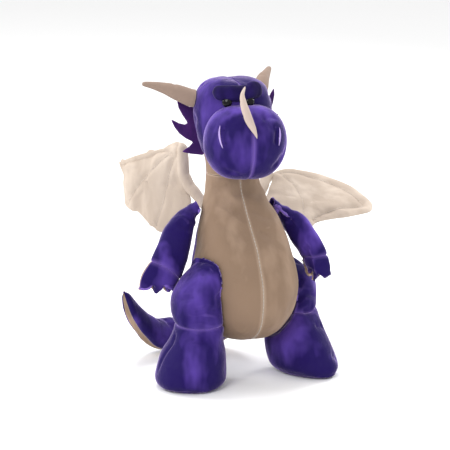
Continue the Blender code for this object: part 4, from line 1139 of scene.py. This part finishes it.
# %% Leg forms
LEG_PATH = {
    "right": [
        (0.0000, 0.089, -0.053, 0.0400, 0.0410, 18), (0.0016, 0.089, -0.053, 0.0450, 0.0465, 18), (0.006, 0.089, -0.053, 0.0485, 0.0495, 18),
        (0.018, 0.089, -0.054, 0.0505, 0.0510, 18), (0.045, 0.087, -0.056, 0.047, 0.049, 17), (0.070, 0.081, -0.056, 0.038, 0.045, 14),
        (0.087, 0.077, -0.053, 0.036, 0.043, 10), (0.108, 0.078, -0.051, 0.0375, 0.045, 5),
        (0.128, 0.076, -0.050, 0.0365, 0.045, 0), (0.148, 0.069, -0.049, 0.031, 0.040, 0),
        (0.167, 0.061, -0.048, 0.019, 0.027, 0), (0.1735, 0.058, -0.048, 0.010, 0.014, 0), (0.176, 0.057, -0.048, 0.000, 0.000, 0),
    ],
    "left": [
        (0.0000, 0.082, -0.045, 0.0230, 0.041, 35), (0.0016, 0.082, -0.0445, 0.0280, 0.0465, 35), (0.006, 0.081, -0.044, 0.0320, 0.050, 35),
        (0.018, 0.080, -0.042, 0.0385, 0.054, 35), (0.045, 0.074, -0.036, 0.0405, 0.051, 33), (0.067, 0.074, -0.026, 0.036, 0.044, 25),
        (0.087, 0.077, -0.010, 0.0335, 0.038, 15), (0.108, 0.079, 0.001, 0.036, 0.038, 5),
        (0.128, 0.077, 0.008, 0.036, 0.036, 0), (0.144, 0.071, 0.012, 0.029, 0.030, 0),
        (0.157, 0.065, 0.014, 0.018, 0.020, 0), (0.162, 0.063, 0.014, 0.010, 0.011, 0), (0.164, 0.062, 0.014, 0.000, 0.000, 0),
    ],
}
HIP_ANGLE = {"left": math.radians(96), "right": math.radians(62)}
LEG_COLUMNS, LEG_RINGS = 56, 66


def leg_form(name, side):
    spot, normal = spot_on(TORSO, 0.120, side * HIP_ANGLE[name])
    axis = np.array([normal[0], normal[1], 0.0]) / math.hypot(normal[0], normal[1])
    rows = [(z, side * x, y, a, b, side * turn) for z, x, y, a, b, turn in LEG_PATH[name]]
    form = stack(rows, LEG_RINGS, LEG_COLUMNS)
    form = uneven(form, 0.045, 0.0016, 40 + side)
    ankle = ring_at(form, 0.088)
    form = finer(fill_out(f"leg_{name}", form, (14, 42), (ankle,), cap=0.0020, grow=0.03))
    ankle *= 2
    form[:, :, 2] = np.maximum(form[:, :, 2], 0.0)
    form[0, :, 2] = 0.0
    return form, ankle, spot, axis


LEG_CREASES = {
    "right": [
        ([(0.60, 0.90), (0.62, 1.0), (0.60, 1.12)], 3.5, 1.8), ([(0.56, 0.86), (0.57, 0.98), (0.55, 1.08)], 3.0, 1.3),
        ([(0.66, 0.80), (0.70, 0.92)], 3.5, 1.5), ([(0.68, 1.04), (0.72, 1.14)], 3.5, 1.3), ([(0.46, 0.92), (0.44, 1.04)], 3.6, 1.4),
        ([(0.80, 0.86), (0.84, 0.96)], 4.0, 1.4), ([(0.26, 0.80), (0.40, 0.82), (0.47, 0.80)], 2.4, 1.5),
    ],
    "left": [
        ([(0.56, 0.92), (0.60, 1.02), (0.58, 1.14)], 3.5, 1.9), ([(0.50, 0.96), (0.53, 1.08)], 3.2, 1.4),
        ([(0.64, 0.98), (0.70, 1.06)], 3.6, 1.6), ([(0.66, 1.16), (0.72, 1.24)], 3.5, 1.3), ([(0.44, 1.0), (0.42, 1.1)], 3.6, 1.4),
        ([(0.30, 1.02), (0.26, 1.10)], 4.0, 1.4), ([(0.78, 1.1), (0.84, 1.2)], 4.0, 1.4),
    ],
}

# %% Leg panels
for name, side in SIDES.items():
    form, ankle, hip, axis = leg_form(name, side)
    form = folds(form, LEG_CREASES[name], 1.5, 1.9)
    form = fold(form, form[ankle, list(range(0, 2 * LEG_COLUMNS, 8)) + [0]], 0.0036, 0.0013, False)
    form = clear_of(form, torso_tree, TORSO_MIDDLE, hip, axis, (0, -12, 12, -12, 12, 0), 0.0034)
    boot = panel(f"boot_{name}", form, PURPLE, (0, ankle), None, (False, True))
    thigh = panel(f"thigh_panel_{name}", form, PURPLE, (ankle, len(form) - 1), None, (True, False))
    edge = form[0] * 0.985 + 0.015 * form[0].mean(0)
    inner = form[0].mean(0)
    sole_grid = np.array([edge + (0, 0, 0.0030), edge + (0, 0, 0.0012), edge + (0, 0, 0.0001), *[
        edge * (1 - t) + inner * t + (0, 0, 0.0001) for t in (0.25, 0.5, 0.75, 1.0)]])
    sole = stuffed(f"sole_patch_{name}", sole_grid, PURPLE, 0)
    for piece, node in ((boot, f"foot_upper_{name}"), (thigh, f"thigh_{name}"), (sole, f"sole_{name}")):
        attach(piece, f"leg_{name}")
        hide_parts(node)
print("legs made")

# %% [markdown]
# ## Tail
# The tail leaves the back low down, sinks almost to the floor and curls up to a point. Its underside is beige.
# Its root is soft and full of wrinkles, because it bends there each time the toy is set down.

# %% Tail
TAIL_PATH = [
    (-0.004, 0.040, -0.0250, 1.00), (-0.022, 0.061, -0.0410, 0.98), (-0.055, 0.066, -0.0470, 0.90),
    (-0.090, 0.055, -0.0410, 0.78), (-0.117, 0.038, -0.0200, 0.60), (-0.137, 0.022, 0.0060, 0.44),
    (-0.150, 0.009, 0.0290, 0.28), (-0.157, 0.003, 0.0400, 0.00),
]
spot, normal = spot_on(TORSO, 0.075, math.pi)
tail_root = spot + 0.0025 * normal
tail_rows = [(*(tail_root + out * normal), 0.0298, 0.0298) for out in (0.0, 0.014)]
tail_rows += [(*(tail_root + (x, y, z)), size * 0.031, size * 0.031) for x, y, z, size in TAIL_PATH]
tail_form = uneven(tube(tail_rows, 70, 36, (0, 0, 1)), 0.028, 0.0012, 50)
tail_form = finer(fill_out("tail", tail_form, (12, 17), (), cap=0.0025, grow=0.03))
tail_form[:, :, 2] = np.maximum(tail_form[:, :, 2], 0.0008)
TAIL_CREASES = [
    ([(0.30, 0.72), (0.33, 0.85), (0.31, 1.0)], 3.4, 1.8), ([(0.38, 0.70), (0.40, 0.86), (0.37, 1.0)], 3.2, 1.8),
    ([(0.46, 0.72), (0.47, 0.88), (0.45, 1.02)], 3.0, 1.5), ([(0.54, 0.74), (0.55, 0.9)], 2.8, 1.2),
    ([(0.62, 0.78), (0.62, 0.95)], 2.4, 1.0), ([(0.34, 0.1), (0.36, 0.25)], 3.0, 1.3), ([(0.48, 0.08), (0.50, 0.22)], 2.8, 1.2),
    ([(0.22, 0.75), (0.24, 0.95)], 3.2, 1.4), ([(0.70, 0.85), (0.71, 0.98)], 2.0, 0.7),
]
tail_form = folds(tail_form, TAIL_CREASES, 1.4, 2.0)
tail_form = clear_of(tail_form, torso_tree, TORSO_MIDDLE, tail_root, np.array([0, 0, 1.0]), (0, -20, 20, -20, 0), 0.003)
tail_top = panel("tail_upper", tail_form, PURPLE, (0, 137), (34, 96), (False, False))
tail_under = panel("tail_lower", tail_form, BEIGE, (0, 137), (24, 34), (False, False))
for piece, nodes, slot in ((tail_top, ("tail_top", "tail_stuffing"), "purple_velvet"), (tail_under, ("tail_underside",), "beige_velvet")):
    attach(piece, "tail")
    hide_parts(*nodes)
print("tail made")

# %% [markdown]
# ## Wings
# A wing is two faces of cream velour sewn together round a scalloped edge, with thin batting between them. Ribs of
# stitching run out from the top of the arm roll and pull the faces together, so the cloth puffs between them. Each
# wing is one flat cushion form: rings from the middle of the front face, over the edge, to the middle of the back.

# %% Wing outlines, along the wing and up it
WING_POSE = {"left": (8, 25, 68), "right": (62, 10, 4)}  # sweep back, droop, lean back
WING_EDGE = {
    "right": [
        (0.0500, 0.0900), (0.0800, 0.0855), (0.1250, 0.0790), (0.1640, 0.0715), (0.1700, 0.0700), (0.1675, 0.0610),
        (0.1622, 0.0500), (0.1645, 0.0430), (0.1672, 0.0340), (0.1700, 0.0165), (0.1690, 0.0090), (0.1655, 0.0050),
        (0.1560, 0.0000), (0.1482, -0.0027), (0.1400, -0.0040), (0.1276, -0.0113), (0.1180, -0.0175), (0.1131, -0.0222),
        (0.1060, -0.0245), (0.0990, -0.0305), (0.0900, -0.0325), (0.0700, -0.0370), (0.0560, -0.0385), (0.0500, -0.0300),
        (0.0400, -0.0050), (0.0350, 0.0130), (0.0400, 0.0250), (0.0465, 0.0380), (0.0480, 0.0550), (0.0465, 0.0750),
    ],
    "left": [
        (0.0500, 0.0950), (0.0620, 0.1080), (0.0740, 0.1155), (0.0870, 0.1180), (0.1080, 0.1200), (0.1270, 0.1150),
        (0.1490, 0.1020), (0.1690, 0.0820), (0.1840, 0.0600), (0.1900, 0.0480), (0.1905, 0.0350), (0.1865, 0.0240),
        (0.1720, 0.0145), (0.1560, 0.0075), (0.1410, 0.0030), (0.1230, -0.0050), (0.1120, -0.0130), (0.1030, -0.0250),
        (0.0900, -0.0300), (0.0700, -0.0370), (0.0560, -0.0380), (0.0490, -0.0300), (0.0400, -0.0050), (0.0340, 0.0120),
        (0.0370, 0.0260), (0.0410, 0.0420), (0.0440, 0.0600), (0.0470, 0.0780),
    ],
}
WING_RIBS = {
    "right": [
        [(0.0470, 0.0870), (0.0900, 0.0600), (0.1300, 0.0330), (0.1640, 0.0075)],
        [(0.0470, 0.0860), (0.0660, 0.0450), (0.0840, 0.0060), (0.0985, -0.0270)],
        [(0.0520, 0.0880), (0.1000, 0.0790), (0.1600, 0.0690)],
    ],
    "left": [
        [(0.0560, 0.0960), (0.0820, 0.1035), (0.1120, 0.0990), (0.1390, 0.0876), (0.1640, 0.0640), (0.1800, 0.0420)],
        [(0.1800, 0.0370), (0.1580, 0.0290), (0.1367, 0.0199), (0.1200, 0.0080), (0.1060, -0.0120)],
        [(0.0600, 0.0900), (0.0800, 0.0620), (0.0900, 0.0250), (0.0910, -0.0200)],
    ],
}
WING_ROLL = {
    "right": [(0.000, 0.000), (0.016, 0.018), (0.030, 0.032), (0.0375, 0.046), (0.0385, 0.060), (0.0370, 0.076), (0.0375, 0.087), (0.0420, 0.0945)],
    "left": [(0.000, 0.000), (0.013, 0.016), (0.024, 0.034), (0.031, 0.054), (0.0365, 0.076), (0.0415, 0.092), (0.0470, 0.1010)],
}


def wing_place(name, side):
    sweep, droop, lean = (math.radians(value) for value in WING_POSE[name])
    out = np.array([side * math.cos(sweep), math.sin(sweep), 0.0])
    rear = np.array([-side * math.sin(sweep), math.cos(sweep), 0.0])
    up = np.array([0, 0, math.cos(lean)]) + rear * math.sin(lean)
    root = np.array([side * 0.027, 0.076, 0.222])
    return root, out * math.cos(droop) - up * math.sin(droop), up * math.cos(droop) + out * math.sin(droop)


def closed_curve(points, count):
    """A smooth closed curve through points, in even steps."""
    points = np.array(points)
    around = np.vstack([points[-1:], points, points[:2]])
    found = []
    for place in np.linspace(0, len(points), 8 * count, endpoint=False):
        first = int(place)
        t = place - first
        a, b, c, d = (around[(first + k) % len(around)] for k in range(4))
        found.append(0.5 * (2 * b + (c - a) * t + (2 * a - 5 * b + 4 * c - d) * t**2 + (3 * b - 3 * c + d - a) * t**3))
    found = np.array(found)
    steps = np.concatenate([[0], np.cumsum(np.linalg.norm(np.diff(np.vstack([found, found[:1]]), axis=0), axis=1))])
    marks = np.linspace(0, steps[-1], count, endpoint=False)
    looped = np.vstack([found, found[:1]])
    return np.column_stack([np.interp(marks, steps, looped[:, k]) for k in range(2)])


WING_EASE = {"right": 1.075, "left": 1.055}  # sewing rounds the edge in, so it is cut a little larger
print("wing outlines ready")

# %% Wing forms
SAIL_RINGS, SAIL_COLUMNS, SAIL_HALF = 20, 132, 0.0040


def sail_form(name, side):
    root, along, up = wing_place(name, side)
    normal = np.cross(along, up)
    centre = np.array([0.108, 0.038])
    edge = centre + (closed_curve(WING_EDGE[name], SAIL_COLUMNS) - centre) * WING_EASE[name]
    shares = np.linspace(0, 1, SAIL_RINGS) ** 0.85
    heights = SAIL_HALF * np.sqrt(np.clip(1 - shares**5, 0, 1)) + 0.0002
    rings = []
    for share, height, face in [(s, h, 1) for s, h in zip(shares, heights)] + [
        (s, h, -1) for s, h in zip(shares[-2::-1], heights[-2::-1])
    ]:
        flat = centre + (edge - centre) * share
        lift = 0 if share == 1 else face * height
        rings.append(root + flat[:, :1] * along + flat[:, 1:] * up + lift * normal)
    return np.array(rings), root, along, up, normal


def bow_of(name, flat):
    """How far the whole wing is bent off its plane, so that it hangs like cloth."""
    a, b = flat
    if name == "right":
        return 0.003 * math.sin(a * 40) * min(1.0, a / 0.1) + 0.003 * math.sin(b * 55 + 1)
    return 0.004 * math.sin(a * 36 + 0.6) * min(1.0, a / 0.1)


def bent(grid, name, root, along, up, normal):
    offset = grid - root
    push = np.array([[bow_of(name, (point @ along, point @ up)) for point in ring] for ring in offset])
    return grid + push[..., None] * normal


def in_space(points, root, along, up, normal, lift=0.0):
    return np.array([root + a * along + b * up + lift * normal for a, b in points])


def on_face(grid, path, count=60):
    """Points on a form's surface nearest to a line, with the outward directions there."""
    fine = smooth_rows(path, count)
    normals = outward(grid)
    flat, ups = grid.reshape(-1, 3), normals.reshape(-1, 3)
    places, directions = [], []
    for point in fine:
        near = np.argsort(np.linalg.norm(flat - point, axis=1))[:6]
        up = ups[near].mean(0)
        up /= np.linalg.norm(up)
        places.append(point + ((flat[near] - point) @ up).mean() * up)
        directions.append(up)
    return np.array(places), np.array(directions)


# %% Sew the wings
for name, side in SIDES.items():
    form, root, along, up, normal = sail_form(name, side)
    form = uneven(form, 0.022, 0.0010, 60 + side)
    form = fill_out(f"wing_{name}", form, (), (SAIL_RINGS - 1,), slim=0.0005, cap=0.0022, grow=0.03, pressure=3)
    for rib in WING_RIBS[name]:
        for face in (1, -1):
            form = fold(form, in_space(rib, root, along, up, normal, face * SAIL_HALF), 0.0042, 0.0024, False)
    hem = [tuple(p) for p in closed_curve(WING_EDGE[name], 60)]
    middle = np.array([0.108, 0.038])
    hem = [tuple(middle + (np.array(p) - middle) * 0.945) for p in hem]
    for face in (1, -1):
        form = fold(form, in_space(hem + hem[:1], root, along, up, normal, face * SAIL_HALF * 0.75), 0.0020, 0.0011, False)
    for path, width, depth in (
        ([(0.150, 0.052), (0.135, 0.058), (0.120, 0.062)], 3.0, 1.0), ([(0.125, -0.004), (0.118, 0.008), (0.108, 0.016)], 3.0, 1.0),
        ([(0.075, -0.020), (0.066, 0.000), (0.060, 0.018)], 3.4, 1.2), ([(0.160, 0.020), (0.146, 0.024)], 2.6, 0.9),
        ([(0.062, 0.030), (0.075, 0.034), (0.085, 0.030)], 3.0, 1.0), ([(0.100, 0.056), (0.112, 0.048)], 2.8, 0.8),
    ):
        for face in (1, -1):
            form = fold(form, in_space(path, root, along, up, normal, face * SAIL_HALF), width / 1000, depth / 1000)
    form = bent(form, name, root, along, up, normal)
    front = panel(f"wing_face_{name}", form, CREAM, (0, SAIL_RINGS - 1), None, (False, True), 0.0012, 1)
    rear = panel(f"wing_lining_{name}", form, CREAM, (SAIL_RINGS - 1, len(form) - 1), None, (True, False), 0.0012, 1)
    pieces = [front, rear]
    for number, rib in enumerate(WING_RIBS[name]):
        for face, tag in ((1, "face"), (-1, "lining")):
            line = bent(in_space(rib, root, along, up, normal, face * SAIL_HALF)[None], name, root, along, up, normal)[0]
            half = form[:SAIL_RINGS] if face > 0 else form[SAIL_RINGS - 1:]
            places, directions = on_face(form, line)
            if (directions[len(directions) // 2] @ normal) * face < 0:
                continue
            pieces.append(stitches(f"wing_{tag}_stitches_{name}_{number + 1}", places, directions, PALE_THREAD, 0.0030, 0.0016, 0.00032, 0.0002))
    roll_rows = []
    sizes = [0.0066, 0.0080, 0.0086, 0.0088, 0.0086, 0.0080, 0.0072, 0.0001][-len(WING_ROLL[name]):]
    for (a, b), size in zip(WING_ROLL[name], sizes):
        roll_rows.append((*(root + a * along + b * up), size, size))
    roll_rows[0] = (*roll_rows[0][:3], 0.0066, 0.0066)
    roll_form = uneven(tube(roll_rows, 52, 28, np.cross(along, up)), 0.02, 0.0009, 70 + side)
    roll_form = folds(roll_form, [
        ([(0.30, 0.1), (0.33, 0.3), (0.31, 0.5)], 2.4, 1.2), ([(0.22, 0.6), (0.25, 0.8)], 2.4, 1.1),
        ([(0.42, 0.7), (0.44, 0.95)], 2.2, 0.9), ([(0.62, 0.2), (0.64, 0.4)], 2.2, 0.8),
    ])
    roll = stuffed(f"wing_roll_{name}", roll_form, CREAM)
    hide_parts(f"wing_front_{name}", f"wing_batting_{name}")
    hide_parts(f"wing_back_{name}")
    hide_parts(f"wing_arm_{name}")
    for piece in (*pieces, roll):
        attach(piece, f"wing_{name}")
print("wings sewn")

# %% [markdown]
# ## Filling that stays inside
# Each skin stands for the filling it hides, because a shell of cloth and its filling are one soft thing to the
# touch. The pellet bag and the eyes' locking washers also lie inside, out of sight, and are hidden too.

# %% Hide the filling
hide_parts("torso_stuffing")
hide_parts("pellet_bag")
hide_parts("head_stuffing", "eye_washer_left")
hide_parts("eye_washer_right")
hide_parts("muzzle_stuffing")
for name in SIDES:
    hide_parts(f"arm_stuffing_{name}")
    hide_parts(f"leg_stuffing_{name}")
print("hidden filling is stood for by", 8, "skins")

# %% [markdown]
# The skins are listed with how tight the filling under each is, and the pieces whose names match are counted. The
# belly and the feet are packed hard, the head a little less, and the tail and arms are looser.

TIGHTNESS = {
    "belly_panel": 0.8, "back_panel": 0.8, "seat_panel": 0.7, "head_panel": 0.75, "throat_panel": 0.6, "nape_panel": 0.6,
    "muzzle_panel": 0.8, "sleeve": 0.6, "palm_pad": 0.55, "paw_top": 0.55, "boot": 0.75, "thigh_panel": 0.75,
    "tail_upper": 0.55, "tail_lower": 0.55,
}
declared = 0
for piece in list(bpy.data.objects):
    for start, fill in TIGHTNESS.items():
        if piece.name.startswith(start):
            declared += 1
print("padded pieces declared here", declared)

# %% Finish
import json
